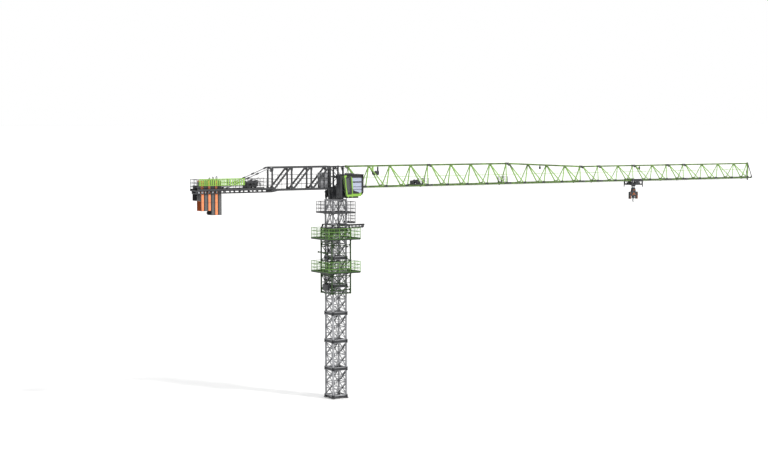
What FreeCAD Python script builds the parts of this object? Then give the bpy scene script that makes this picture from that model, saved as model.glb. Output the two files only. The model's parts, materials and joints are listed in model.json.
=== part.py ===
import FreeCAD
import Part
import os

# Flat-top tower crane. Every length below is in millimetres of the full-size crane;
# save() writes each piece at MODEL_SCALE. Origin: centre of the base frame's underside,
# +Z up, +X along the jib, the cab on the -Y side.

MODEL_SCALE = 0.5
RUNNING_GAP = 12

# ---- mast -----------------------------------------------------------------
BASE_HEIGHT = 200
SECTION_HEIGHT = 2800
SECTION_COUNT = 6
MAST_HALF = 750
LEG = 150
SLEEVE = 200
SLEEVE_HEIGHT = 190
MAST_BAR = 120
MAST_BRACE = 80
MAST_TOP = BASE_HEIGHT + SECTION_COUNT * SECTION_HEIGHT
LEG_FACE = MAST_HALF + LEG / 2

FOOT_PLATE = 340
FOOT_THICKNESS = 40
ANCHOR_OFFSET = 115
ANCHOR_HOLE_R = 22
CENTRE_PLATE = 560

LANDING_THICKNESS = 30
LANDING_DROP = 60
LADDER_HALF_WIDTH = 220
LADDER_FOOT_Y = -150
LADDER_HEAD_Y = 640
STILE = 60
RUNG_PITCH = 280

# ---- climbing frame -------------------------------------------------------
CAGE_HALF = 1075
CAGE_POST = 120
CAGE_BAR = 80
CAGE_BOTTOM = 10600
CAGE_TOP = 17200
CAGE_FACE = CAGE_HALF + CAGE_POST / 2
LOW_SHOE_Z = 11000
HIGH_SHOE_Z = 16700
PLATFORM_HALF = 1850
PLATFORM_THICKNESS = 60
LOW_PLATFORM_TOP = 12830
HIGH_PLATFORM_TOP = 16170
RAILING_HEIGHT = 1050
RAIL = 40

# ---- mast head and slewing ring ------------------------------------------
SLEW_PLATFORM_HALF = 1480
SLEW_PLATFORM_TOP = 18780
SLEW_RAILING_HEIGHT = 1080
HEAD_PLATE_Z = 19980
RING_Z = 20080
RING_OUTER = 760
RING_INNER = 600
RING_HEIGHT = 100
TURNING_Z = RING_Z + RING_HEIGHT + RUNNING_GAP
TABLE_Z = TURNING_Z + 90
TABLE_TOP = 20700
TABLE_HALF = 780

# ---- turret, jib and counter-jib -----------------------------------------
TURRET_HALF_X = 550
TURRET_HALF_Y = 500
TURRET_POST = 140
JIB_Z = 21250
JIB_TOP_ROOT = 23340
JIB_TOP_OUTER = 22870
JIB_ROOT = 1100
JIB_HALF = 500
JIB_LENGTHS = (10000, 10000, 10000, 2500, 5000, 5000, 2500, 10000)
JIB_TAPER_START = 21100
JIB_TAPER_END = 31100
JIB_BAY = 2500
RAIL_FLANGE_OUT = 655
RAIL_FLANGE_THICKNESS = 20
TIP_REACH = 300
BRACKET_REAR = 4250
BRACKET_FRONT = 4950
BRACKET_FOOT = 22450

COUNTER_ROOT = -850
COUNTER_END = -7470
COUNTER_TAIL = -15550
COUNTER_HALF = 475
COUNTER_Z = 21150
COUNTER_TOP = 23350
COUNTER_CHORD = 180
COUNTER_CHORD_WIDTH = 120
DECK_TOP = 21280
DECK_HALF = 900

# ---- trolley and hook block ----------------------------------------------
TROLLEY_X = 38650
TROLLEY_HALF = 820
TROLLEY_LOW = 20700
TROLLEY_SIDE = RAIL_FLANGE_OUT + 15
TROLLEY_PLATE = 30
WHEEL_X = 620
WHEEL_R = 90
WHEEL_Z = JIB_Z - 70 + WHEEL_R + 4
WHEEL_AXLE_R = 30
SHEAVE_R = 200
GROOVE_DEPTH = 22
ROPE_R = 11
ROPE_Z = 21060
ROPE_LINE = SHEAVE_R - GROOVE_DEPTH + ROPE_R + 2
TROLLEY_SHEAVE_Z = ROPE_Z - ROPE_LINE
TROLLEY_SHEAVE_X = 2 * ROPE_LINE
BLOCK_SHEAVE_Z = 20130
CHEEK_INNER = 75
CHEEK_OUTER = 110
BLOCK_HEAD_TOP = 20430
BLOCK_SHOULDER = 19930
BLOCK_BODY_LOW = 19500
BLOCK_LEG_LOW = 19120
CROSSHEAD_TOP = 19310
CROSSHEAD_LOW = 19170
SHANK_R = 45
HOOK_EYE_Z = 18960
HOOK_OUTER = 170
HOOK_INNER = 80

# ---- winches, counterweights and cab --------------------------------------
AXLE_R = 40
CHEEK = 40
TROLLEY_CHEEK_HALF = 300
HOIST_CHEEK_HALF = 430
TROLLEY_DRUM_X = 9500
TROLLEY_DRUM_Z = 21640
TROLLEY_DRUM_R = 160
HOIST_DRUM_X = -9250
HOIST_DRUM_Z = 21790
HOIST_DRUM_R = 290
SIGN_REAR = -15450
SIGN_FRONT = -10600
SIGN_LOW = 21730
SIGN_TOP = 22400
SIGN_SLATS = 24
WEIGHT_REAR = -15030
WEIGHT_PITCH = 364
WEIGHT_THICKNESS = 340
WEIGHT_FRONT = WEIGHT_REAR + 6 * WEIGHT_PITCH
CAB_REAR = -340
CAB_FRONT = 1950
CAB_NEAR = -2000
CAB_FAR = -850
CAB_WALL = 45
CAB_LOW = 20400
CAB_TOP = 22500
CAB_FLOOR_REAR = 50
CAB_FLOOR_FRONT = 1750
CABINET_REAR = -610
CABINET_FRONT = -370

X_AXIS = FreeCAD.Vector(1, 0, 0)
Y_AXIS = FreeCAD.Vector(0, 1, 0)
Z_AXIS = FreeCAD.Vector(0, 0, 1)


# ---- shapes ---------------------------------------------------------------
def vec(x, y, z):
    return FreeCAD.Vector(x, y, z)


def block(x0, x1, y0, y1, z0, z1):
    """A box between two corners."""
    return Part.makeBox(x1 - x0, y1 - y0, z1 - z0, vec(x0, y0, z0))


def block_at(centre, size):
    """A box of the given size about its centre."""
    corner = [c - s / 2 for c, s in zip(centre, size)]
    return Part.makeBox(*size, vec(*corner))


def bar(start, end, width, depth=None):
    """A rectangular bar between two points; width lies level, depth stands up."""
    depth = depth or width
    a, b = vec(*start), vec(*end)
    along = b - a
    length = along.Length
    along.normalize()
    up = Z_AXIS if abs(along.z) < 0.99 else X_AXIS
    side = up.cross(along)
    side.normalize()
    up = along.cross(side)
    solid = Part.makeBox(length, width, depth, vec(0, -width / 2, -depth / 2))
    solid.Placement = FreeCAD.Placement(a, FreeCAD.Rotation(along, side, up, "XYZ"))
    return solid


def rod(start, end, radius):
    """A round bar between two points."""
    a, b = vec(*start), vec(*end)
    return Part.makeCylinder(radius, (b - a).Length, a, b - a)


def ring(centre, axis, outer, inner, length):
    """A flat ring that starts at centre and runs along axis."""
    base = vec(*centre)
    return Part.makeCylinder(outer, length, base, axis).cut(Part.makeCylinder(inner, length, base, axis))


def slab_xz(points, y0, y1):
    """A plate with an outline in the XZ plane, from y0 to y1."""
    corners = [vec(x, y0, z) for x, z in points]
    face = Part.Face(Part.makePolygon(corners + corners[:1]))
    return face.extrude(vec(0, y1 - y0, 0))


def slab_yz(points, x0, x1):
    """A plate with an outline in the YZ plane, from x0 to x1."""
    corners = [vec(x0, y, z) for y, z in points]
    face = Part.Face(Part.makePolygon(corners + corners[:1]))
    return face.extrude(vec(x1 - x0, 0, 0))


def join(pieces):
    """Weld pieces that cross into one solid."""
    return pieces[0].multiFuse(pieces[1:]).removeSplitter()


def group(pieces):
    """Keep pieces that do not touch together in one sub-part."""
    return Part.makeCompound(pieces)


def save(name, shape):
    scaled = shape.scaled(MODEL_SCALE, vec(0, 0, 0))
    scaled.exportStep("parts/" + name + ".step")


def corners_of(half):
    return [(x, y) for x in (-half, half) for y in (-half, half)]


def sides_of(half):
    """The four sides of a square as pairs of corners, in turn."""
    loop = [(-half, -half), (half, -half), (half, half), (-half, half)]
    return [(loop[i], loop[(i + 1) % 4]) for i in range(4)]


def square_frame(half, z, size, sides=(0, 1, 2, 3)):
    """Level bars along the chosen sides of a square."""
    bars = []
    for index, (a, b) in enumerate(sides_of(half)):
        if index in sides:
            bars.append(bar((*a, z), (*b, z), size))
    return bars


# ---- mast -----------------------------------------------------------------
def base_frame():
    pieces = []
    for x, y in corners_of(MAST_HALF):
        plate = block_at((x, y, FOOT_THICKNESS / 2), (FOOT_PLATE, FOOT_PLATE, FOOT_THICKNESS))
        for dx, dy in corners_of(ANCHOR_OFFSET):
            plate = plate.cut(rod((x + dx, y + dy, 0), (x + dx, y + dy, FOOT_THICKNESS), ANCHOR_HOLE_R))
        pieces.append(plate)
        pieces.append(block_at((x, y, BASE_HEIGHT / 2), (SLEEVE, SLEEVE, BASE_HEIGHT)))
    beam_z = 110
    pieces += square_frame(MAST_HALF, beam_z, 120)
    cross_height = 120
    pieces.append(block(-MAST_HALF, MAST_HALF, -60, 60, 0, cross_height))
    pieces.append(block(-60, 60, -MAST_HALF, MAST_HALF, 0, cross_height))
    half = CENTRE_PLATE / 2
    pieces.append(block(-half, half, -half, half, 0, FOOT_THICKNESS))
    return join(pieces)


def mast_section(z0, z1):
    """Four legs with end sleeves, a frame at each end and one bent brace on each face."""
    pieces = []
    for x, y in corners_of(MAST_HALF):
        pieces.append(block_at((x, y, (z0 + z1) / 2), (LEG, LEG, z1 - z0)))
        for z in (z0 + SLEEVE_HEIGHT / 2, z1 - SLEEVE_HEIGHT / 2):
            pieces.append(block_at((x, y, z), (SLEEVE, SLEEVE, SLEEVE_HEIGHT)))
    low, high = z0 + LANDING_DROP + MAST_BAR / 2, z1 - LANDING_DROP - MAST_BAR / 2
    pieces += square_frame(MAST_HALF, low, MAST_BAR)
    pieces += square_frame(MAST_HALF, high, MAST_BAR)
    middle = (z0 + z1) / 2
    for a, b in sides_of(MAST_HALF):
        pieces.append(bar((*a, low + 60), (*b, middle), MAST_BRACE))
        pieces.append(bar((*b, middle), (*a, high - 60), MAST_BRACE))
    return join(pieces)


def mast_joint(index):
    return BASE_HEIGHT + index * SECTION_HEIGHT


def landing_top(index):
    return mast_joint(index) - LANDING_DROP + LANDING_THICKNESS


def rest_platforms():
    """A plate with a hatch on the top frame of each section."""
    plates = []
    for index in range(1, SECTION_COUNT + 1):
        top = landing_top(index)
        under = top - LANDING_THICKNESS
        plate = block(-640, 640, -MAST_HALF, MAST_HALF, under, top)
        plates.append(plate.cut(block(-300, 300, -60, 590, under, top)))
    return group(plates)


def mast_ladders():
    """One leaning ladder in each section, from landing to landing."""
    ladders = []
    for index in range(SECTION_COUNT):
        z0 = landing_top(index) if index else FOOT_THICKNESS
        z1 = mast_joint(index + 1) - LANDING_DROP
        half = STILE / 2
        outline = [(LADDER_FOOT_Y - half, z0), (LADDER_FOOT_Y + half, z0)]
        outline += [(LADDER_HEAD_Y + half, z1), (LADDER_HEAD_Y - half, z1)]
        pieces = []
        for x in (-LADDER_HALF_WIDTH, LADDER_HALF_WIDTH - 40):
            pieces.append(slab_yz(outline, x, x + 40))
        count = int((z1 - z0 - 100) // RUNG_PITCH)
        for rung in range(1, count + 1):
            z = z0 + rung * RUNG_PITCH
            y = LADDER_FOOT_Y + (LADDER_HEAD_Y - LADDER_FOOT_Y) * (z - z0) / (z1 - z0)
            pieces.append(bar((-LADDER_HALF_WIDTH + 20, y, z), (LADDER_HALF_WIDTH - 20, y, z), 26))
        ladders.append(join(pieces))
    return group(ladders)


def mast_head():
    """The lattice above the sections that carries the slewing ring."""
    pieces = []
    for x, y in corners_of(MAST_HALF):
        pieces.append(block(x - LEG / 2, x + LEG / 2, y - LEG / 2, y + LEG / 2, MAST_TOP, HEAD_PLATE_Z))
        pieces.append(block_at((x, y, MAST_TOP + SLEEVE_HEIGHT / 2), (SLEEVE, SLEEVE, SLEEVE_HEIGHT)))
    low, high = MAST_TOP + 110, SLEW_PLATFORM_TOP - PLATFORM_THICKNESS - MAST_BAR / 2
    pieces += square_frame(MAST_HALF, low, MAST_BAR)
    pieces += square_frame(MAST_HALF, high, MAST_BAR)
    for a, b in sides_of(MAST_HALF):
        middle = ((a[0] + b[0]) / 2, (a[1] + b[1]) / 2)
        pieces.append(bar((*a, low), (*middle, high), MAST_BRACE))
        pieces.append(bar((*middle, high), (*b, low), MAST_BRACE))
        pieces.append(bar((*a, SLEW_PLATFORM_TOP + 60), (*middle, HEAD_PLATE_Z), MAST_BRACE))
        pieces.append(bar((*middle, HEAD_PLATE_Z), (*b, SLEW_PLATFORM_TOP + 60), MAST_BRACE))
    edge = LEG_FACE + 10
    plate = block(-edge, edge, -edge, edge, HEAD_PLATE_Z, RING_Z)
    pieces.append(plate)
    head = join(pieces)
    return head.cut(rod((0, 0, HEAD_PLATE_Z - 200), (0, 0, RING_Z + 1), RING_INNER - 80))


def floor_ring(outer, inner, top):
    """A square walkway round an opening."""
    low = top - PLATFORM_THICKNESS
    return block(-outer, outer, -outer, outer, low, top).cut(block(-inner, inner, -inner, inner, low, top))


def railing_run(start, end, z, height, spaces):
    """Posts and three rails along one straight edge."""
    pieces = []
    for level in (0.35, 0.68, 1.0):
        rail_z = z + height * level - RAIL / 2
        pieces.append(bar((*start, rail_z), (*end, rail_z), RAIL))
    for step in range(spaces + 1):
        x = start[0] + (end[0] - start[0]) * step / spaces
        y = start[1] + (end[1] - start[1]) * step / spaces
        pieces.append(block(x - RAIL / 2, x + RAIL / 2, y - RAIL / 2, y + RAIL / 2, z, z + height))
    return pieces


def square_railing(half, z, height=RAILING_HEIGHT):
    line = half - RAIL
    pieces = []
    for a, b in sides_of(line):
        pieces += railing_run(a, b, z, height, 3)
    return join(pieces)


def slewing_platform():
    return floor_ring(SLEW_PLATFORM_HALF, LEG_FACE, SLEW_PLATFORM_TOP)


def hanging_platform():
    """A small work basket hung under the slewing platform."""
    x0, x1, y0, y1 = 860, 1460, -1440, -100
    floor_z, top = 17720, SLEW_PLATFORM_TOP - PLATFORM_THICKNESS
    pieces = [block(x0, x1, y0, y1, floor_z - 40, floor_z)]
    for x in (x0 + 20, x1 - 20):
        for y in (y0 + 20, y1 - 20):
            pieces.append(block(x - 20, x + 20, y - 20, y + 20, floor_z, top))
    for z in (floor_z + 400, floor_z + 700):
        pieces.append(bar((x1 - 20, y0 + 20, z), (x1 - 20, y1 - 20, z), 35))
        for y in (y0 + 20, y1 - 20):
            pieces.append(bar((x0 + 20, y, z), (x1 - 20, y, z), 35))
    return join(pieces)


def climbing_frame():
    """The cage that lifts the upper works; its +X side stays open for a new section."""
    pieces = []
    for x, y in corners_of(CAGE_HALF):
        pieces.append(block_at((x, y, (CAGE_BOTTOM + CAGE_TOP) / 2),
                               (CAGE_POST, CAGE_POST, CAGE_TOP - CAGE_BOTTOM)))
    closed = (0, 2, 3)
    ends = (CAGE_BOTTOM + CAGE_BAR / 2, CAGE_TOP - CAGE_BAR / 2)
    for z in ends:
        pieces += square_frame(CAGE_HALF, z, CAGE_BAR)
    levels = (LOW_SHOE_Z, 12400, 13900, 15500, HIGH_SHOE_Z)
    for z in levels:
        pieces += square_frame(CAGE_HALF, z, CAGE_BAR, closed)
    for index, (a, b) in enumerate(sides_of(CAGE_HALF)):
        if index in closed:
            pieces.append(bar((*a, 12400), (*b, 13900), 60))
            pieces.append(bar((*b, 13900), (*a, 15500), 60))
            pieces.append(bar((*a, LOW_SHOE_Z), (*b, 12400), 60))
    for z in (LOW_SHOE_Z, HIGH_SHOE_Z):
        for x in (-MAST_HALF, MAST_HALF):
            for side in (-1, 1):
                inner, outer = side * LEG_FACE, side * CAGE_HALF
                pieces.append(block(x - 60, x + 60, min(inner, outer), max(inner, outer), z - 50, z + 50))
    for y, z, reach in ((-600, 14700, 1800), (-600, 13600, 1600)):
        pieces.append(block(-reach, -CAGE_HALF, y - 35, y + 35, z - 35, z + 35))
        pieces.append(block(-CAGE_HALF - 40, -CAGE_HALF + 40, -CAGE_HALF, y, z - 40, z + 40))
    return join(pieces)


def climbing_platforms():
    return group([floor_ring(PLATFORM_HALF, CAGE_FACE, top) for top in (LOW_PLATFORM_TOP, HIGH_PLATFORM_TOP)])


def climbing_railings():
    return group([square_railing(PLATFORM_HALF, top) for top in (LOW_PLATFORM_TOP, HIGH_PLATFORM_TOP)])


def monorail_beam():
    """The beam that feeds in a new section, held across two legs."""
    low, high = 17330, 17500
    reach = 3340
    pieces = [block(LEG_FACE, LEG_FACE + 110, -MAST_HALF, MAST_HALF, low, high)]
    pieces.append(block(LEG_FACE, reach, -60, 60, high - 30, high))
    pieces.append(block(LEG_FACE, reach, -12, 12, low, high))
    pieces.append(block(LEG_FACE, reach, -60, 60, low, low + 30))
    pieces.append(block(reach - 300, reach - 60, -90, 90, low - 110, low - 20))
    for y in (-90, 70):
        pieces.append(block(reach - 220, reach - 140, y, y + 20, low - 60, high - 60))
    pieces.append(block(reach - 200, reach - 160, -90, 90, low + 60, low + 90))
    return join(pieces)


def pump_unit():
    face = -(CAGE_HALF + CAGE_BAR / 2)
    low = LOW_SHOE_Z - CAGE_BAR / 2
    tank = block(face - 250, face, -750, 300, low, low + 600)
    motor = block(face - 200, face - 50, -500, 0, low + 600, low + 720)
    return join([tank, motor])


def jacking_cylinder():
    x = -LEG_FACE - 98
    pieces = [rod((x, 0, 13000), (x, 0, 15400), 75)]
    pieces.append(rod((x, 0, 12000), (x, 0, 13000), 45))
    pieces.append(block(x - 60, -LEG_FACE, -MAST_HALF, MAST_HALF, 11880, 12000))
    pieces.append(block(-CAGE_HALF + CAGE_BAR / 2, x + 60, -100, 100, 15400, 15560))
    return join(pieces)


# ---- slewing upper works --------------------------------------------------
def turntable():
    body = block(-TABLE_HALF, TABLE_HALF, -TABLE_HALF, TABLE_HALF, TABLE_Z, TABLE_TOP)
    return body.cut(rod((0, 0, TABLE_Z), (0, 0, TABLE_TOP), RING_INNER - 150))


def turret():
    """Four posts with lugs for the jib and the counter-jib."""
    post = TURRET_POST / 2
    top = COUNTER_TOP + 70
    pieces = []
    for x in (-TURRET_HALF_X, TURRET_HALF_X):
        for y in (-TURRET_HALF_Y, TURRET_HALF_Y):
            pieces.append(block(x - post, x + post, y - post, y + post, TABLE_TOP, top))
    for z in (JIB_Z, 22300, top - post):
        for y in (-TURRET_HALF_Y, TURRET_HALF_Y):
            pieces.append(bar((-TURRET_HALF_X, y, z), (TURRET_HALF_X, y, z), 100))
    for z in (JIB_Z, top - post):
        for x in (-TURRET_HALF_X, TURRET_HALF_X):
            pieces.append(bar((x, -TURRET_HALF_Y, z), (x, TURRET_HALF_Y, z), 100))
    for y in (-TURRET_HALF_Y, TURRET_HALF_Y):
        pieces.append(bar((-TURRET_HALF_X, y, JIB_Z), (TURRET_HALF_X, y, 22300), 60))
        pieces.append(bar((TURRET_HALF_X, y, 22300), (-TURRET_HALF_X, y, top - post), 60))
        pieces.append(block(TURRET_HALF_X, JIB_ROOT, y - 50, y + 50, JIB_Z - 60, JIB_Z + 60))
        near, far = sorted((y * COUNTER_HALF / TURRET_HALF_Y - 50, y * COUNTER_HALF / TURRET_HALF_Y + 50))
        pieces.append(block(COUNTER_ROOT, -TURRET_HALF_X, near, far, COUNTER_Z - 50, COUNTER_Z + 50))
        pieces.append(block(COUNTER_ROOT, -TURRET_HALF_X, near, far, COUNTER_TOP - 50, COUNTER_TOP + 50))
    pieces.append(block(TURRET_HALF_X, JIB_ROOT, -50, 50, JIB_TOP_ROOT - 50, JIB_TOP_ROOT + 50))
    return join(pieces)


def jib_top(x):
    """Height of the top chord's centre line at x."""
    share = (x - JIB_TAPER_START) / (JIB_TAPER_END - JIB_TAPER_START)
    share = min(1, max(0, share))
    return JIB_TOP_ROOT + (JIB_TOP_OUTER - JIB_TOP_ROOT) * share


def jib_section(x0, x1, inner):
    """Three chords laced in bays, with a rail flange under each bottom chord."""
    top_size, low_size, brace = (170, 140, 100) if inner else (150, 120, 85)
    z0, z1 = jib_top(x0), jib_top(x1)
    half = top_size / 2
    pieces = [slab_xz([(x0, z0 - half), (x1, z1 - half), (x1, z1 + half), (x0, z0 + half)], -half, half)]
    for side in (-1, 1):
        y = side * JIB_HALF
        pieces.append(block(x0, x1, y - low_size / 2, y + low_size / 2, JIB_Z - 70, JIB_Z - 70 + low_size))
        a, b = sorted((side * 430, side * RAIL_FLANGE_OUT))
        pieces.append(block(x0, x1, a, b, JIB_Z - 70 - RAIL_FLANGE_THICKNESS, JIB_Z - 70))
    bays = round((x1 - x0) / JIB_BAY)
    for bay in range(bays):
        top_x = x0 + 300 + bay * JIB_BAY
        foot_x = top_x + 1700
        next_top = min(top_x + JIB_BAY - 60, x1 - 120)
        for y in (-JIB_HALF, JIB_HALF):
            pieces.append(bar((top_x, 0, jib_top(top_x)), (foot_x - 100, y, JIB_Z), brace))
            pieces.append(bar((foot_x + 100, y, JIB_Z), (next_top, 0, jib_top(next_top)), brace))
        start = x0 + 60 if bay == 0 else foot_x - JIB_BAY
        pieces.append(bar((start, -JIB_HALF, JIB_Z), (foot_x - 60, JIB_HALF, JIB_Z), 60))
        pieces.append(bar((foot_x, JIB_HALF, JIB_Z), (foot_x, -JIB_HALF, JIB_Z), 60))
    for x in (x0 + 30, x1 - 30):
        pieces.append(bar((x, -JIB_HALF, JIB_Z), (x, JIB_HALF, JIB_Z), 60))
    for x in (x0 + 90, x1 - 90):
        pieces.append(block(x - 90, x + 90, -60, 60, jib_top(x) - half - 50, jib_top(x) + half + 30))
    return join(pieces)


def jib_tip(x):
    """End frame with a raked front, two buffers and the rope anchor."""
    top = JIB_TOP_OUTER
    front = x + TIP_REACH
    pieces = [block(x, x + 80, -JIB_HALF - 60, JIB_HALF + 60, JIB_Z - 60, JIB_Z + 60)]
    pieces.append(block(x, x + 80, -70, 70, JIB_Z, top + 120))
    pieces.append(block(front - 80, front, -JIB_HALF - 50, JIB_HALF + 50, JIB_Z - 50, JIB_Z + 50))
    for y in (-JIB_HALF, JIB_HALF):
        near, far = sorted((y * 1.12, y * 1.3))
        pieces.append(block(x, x + 40, near, far, JIB_Z - 60, JIB_Z + 80))
        pieces.append(block(x, front, y - 50, y + 50, JIB_Z - 50, JIB_Z + 50))
        pieces.append(bar((x + 50, 0, top), (front - 40, y, JIB_Z), 70))
    pieces.append(block(x, x + 60, -90, 90, JIB_Z - 330, JIB_Z - 60))
    return join(pieces)


def pulley_bracket():
    """A hanger under the top chord with a covered pulley at its foot."""
    top = JIB_TOP_ROOT - 85
    pieces = [block(BRACKET_REAR, BRACKET_FRONT, -25, 25, BRACKET_FOOT, BRACKET_FOOT + 50)]
    for x in (BRACKET_REAR, BRACKET_FRONT - 50):
        pieces.append(block(x, x + 50, -25, 25, BRACKET_FOOT, top))
    low, high = BRACKET_FOOT - 40, BRACKET_FOOT + 330
    pieces.append(block(BRACKET_REAR + 200, BRACKET_FRONT + 20, -75, 75, low, high))
    return join(pieces)


def jib_ropes(jib_end):
    """The hoist rope under the jib and the two trolley ropes above its lacing."""
    ropes = [rod((JIB_ROOT + 200, 0, ROPE_Z), (jib_end, 0, ROPE_Z), ROPE_R)]
    for y in (-150, 150):
        ropes.append(rod((10050, y, JIB_Z + 110), (jib_end, y, JIB_Z + 110), ROPE_R))
    return group(ropes)


def winch_frame(x0, x1, skid_half, z0, axle_x, axle_z, cheek_half):
    """A skid with two cheeks that hold the drum's axle."""
    skid_top = z0 + 80
    pieces = [block(x0, x1, -skid_half, skid_half, z0, skid_top)]
    for side in (-1, 1):
        a, b = sorted((side * cheek_half, side * (cheek_half - CHEEK)))
        pieces.append(block(axle_x - 120, axle_x + 120, a, b, skid_top, axle_z + 110))
    return pieces


def axle_bore(x, z, cheek_half):
    return rod((x, -cheek_half, z), (x, cheek_half, z), AXLE_R + 1)


def trolley_winch_frame():
    x, z, half = TROLLEY_DRUM_X, TROLLEY_DRUM_Z, TROLLEY_CHEEK_HALF
    pieces = winch_frame(8900, 10000, 540, JIB_Z + 70, x, z, half)
    pieces.append(block(8930, 9150, -250, 200, JIB_Z + 150, JIB_Z + 480))
    return join(pieces).cut(axle_bore(x, z, half))


def hoist_winch_frame():
    x, z, half = HOIST_DRUM_X, HOIST_DRUM_Z, HOIST_CHEEK_HALF
    pieces = winch_frame(-10300, -8800, 430, DECK_TOP, x, z, half)
    pieces.append(block(-10250, -9760, -300, 200, DECK_TOP + 80, DECK_TOP + 560))
    pieces.append(block(-10200, -9800, 200, 390, DECK_TOP + 80, DECK_TOP + 430))
    return join(pieces).cut(axle_bore(x, z, half))


def winch_drum(x, z, radius, cheek_half):
    """A drum with two flanges on an axle that turns in both cheeks."""
    end = cheek_half - CHEEK - RUNNING_GAP
    pieces = [rod((x, -end, z), (x, end, z), radius)]
    for y in (-end, end - 25):
        pieces.append(rod((x, y, z), (x, y + 25, z), radius + 60))
    pieces.append(rod((x, -cheek_half, z), (x, cheek_half, z), AXLE_R))
    return join(pieces)


def counter_jib_truss():
    """Two braced side frames tied by cross members, with a floor between them."""
    xs = (-7400, -5250, -3050, -920)
    pieces = []
    for y in (-COUNTER_HALF, COUNTER_HALF):
        for z in (COUNTER_Z, COUNTER_TOP):
            pieces.append(bar((COUNTER_END, y, z), (COUNTER_ROOT, y, z), COUNTER_CHORD_WIDTH, COUNTER_CHORD))
        for x in xs:
            pieces.append(bar((x, y, COUNTER_Z), (x, y, COUNTER_TOP), 140))
        for x0, x1 in zip(xs, xs[1:]):
            pieces.append(bar((x0 + 120, y, COUNTER_Z), (x1 - 100, y, COUNTER_TOP), 150))
    for x in xs:
        for z in (COUNTER_Z, COUNTER_TOP):
            pieces.append(bar((x, -COUNTER_HALF, z), (x, COUNTER_HALF, z), 80))
    for x0, x1 in zip(xs, xs[1:]):
        pieces.append(bar((x0, -COUNTER_HALF, COUNTER_TOP), (x1, COUNTER_HALF, COUNTER_TOP), 60))
    pieces.append(block(COUNTER_END + 100, COUNTER_ROOT - 100, -COUNTER_HALF, COUNTER_HALF,
                        COUNTER_Z + 30, COUNTER_Z + 60))
    for y in (-COUNTER_HALF + 45, COUNTER_HALF - 45):
        for z in (21700, 22200):
            pieces.append(bar((COUNTER_END + 70, y, z), (COUNTER_ROOT - 70, y, z), 30))
    return join(pieces)


def counter_jib_deck():
    """Two slotted side beams, cross members and walkway plates; open where the weights hang."""
    low, high = 20930, DECK_TOP - 30
    pieces = []
    for y in (-COUNTER_HALF, COUNTER_HALF):
        pieces.append(block(COUNTER_TAIL, COUNTER_END, y - 60, y + 60, high - 80, high))
        pieces.append(block(COUNTER_TAIL, COUNTER_END, y - 60, y + 60, low, low + 80))
        posts = 8
        span = COUNTER_END - COUNTER_TAIL - 120
        for step in range(posts + 1):
            x = COUNTER_TAIL + span * step / posts
            pieces.append(block(x, x + 120, y - 60, y + 60, low, high))
    for x in (COUNTER_TAIL + 60, WEIGHT_FRONT + 130, -11000, -9300, COUNTER_END - 60):
        pieces.append(block(x - 50, x + 50, -COUNTER_HALF, COUNTER_HALF, low, low + 80))
        pieces.append(block(x - 50, x + 50, -DECK_HALF, DECK_HALF, high - 60, high))
    for side in (-1, 1):
        a, b = sorted((side * (COUNTER_HALF + 45), side * DECK_HALF))
        pieces.append(block(COUNTER_TAIL, COUNTER_END, a, b, high, DECK_TOP))
    edge = COUNTER_HALF + 60
    for x0, x1 in ((WEIGHT_FRONT + 80, COUNTER_END), (COUNTER_TAIL, COUNTER_TAIL + 120)):
        pieces.append(block(x0, x1, -edge, edge, high, DECK_TOP))
    return join(pieces)


def counter_jib_ties():
    """Two sloping bars from the truss's rear top corners to the deck."""
    ties = []
    for side in (-1, 1):
        y = side * COUNTER_HALF
        pieces = [block(COUNTER_END - 200, COUNTER_END, y - 50, y + 50, COUNTER_TOP - 70, COUNTER_TOP + 70)]
        foot_x = WEIGHT_FRONT + 350
        pieces.append(bar((COUNTER_END - 100, y, COUNTER_TOP), (foot_x, y, DECK_TOP + 110), 50, 90))
        pieces.append(block(foot_x - 120, foot_x + 120, y - 50, y + 50, DECK_TOP, DECK_TOP + 170))
        ties.append(join(pieces))
    return group(ties)


def deck_railing():
    """Rails along both sides of the deck and across its tail."""
    y = DECK_HALF - RAIL / 2
    tail, front = COUNTER_TAIL + RAIL / 2, COUNTER_END - 150
    pieces = railing_run((tail, -y), (front, -y), DECK_TOP, RAILING_HEIGHT, 6)
    pieces += railing_run((tail, y), (front, y), DECK_TOP, RAILING_HEIGHT, 6)
    pieces += railing_run((tail, -y), (tail, y), DECK_TOP, RAILING_HEIGHT, 2)
    return join(pieces)


def sign_board():
    """A bare frame of upright slats on the outside of the -Y railing."""
    x0, x1, z0, z1 = SIGN_REAR, SIGN_FRONT, SIGN_LOW, SIGN_TOP
    face = -DECK_HALF
    rim, slat = 50, 110
    opening = block(x0 + rim, x1 - rim, face - 30, face, z0 + rim, z1 - rim)
    pieces = [block(x0, x1, face - 30, face, z0, z1).cut(opening)]
    pitch = (x1 - x0 - 2 * rim) / SIGN_SLATS
    for index in range(SIGN_SLATS):
        middle = x0 + rim + pitch * (index + 0.5)
        pieces.append(block(middle - slat / 2, middle + slat / 2, face - 20, face - 6, z0 + 20, z1 - 20))
    return join(pieces)


def tail_blocks():
    """Two short blocks at the tail: one stands on its end beam, one hangs under it."""
    half, middle = 340, COUNTER_TAIL + 45
    upper = block(middle, middle + 135, -half, half, DECK_TOP, DECK_TOP + 480)
    low = DECK_TOP - 350
    lower = block(COUNTER_TAIL, COUNTER_TAIL + 140, -half, half, low - 630, low)
    return group([upper, lower])


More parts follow.
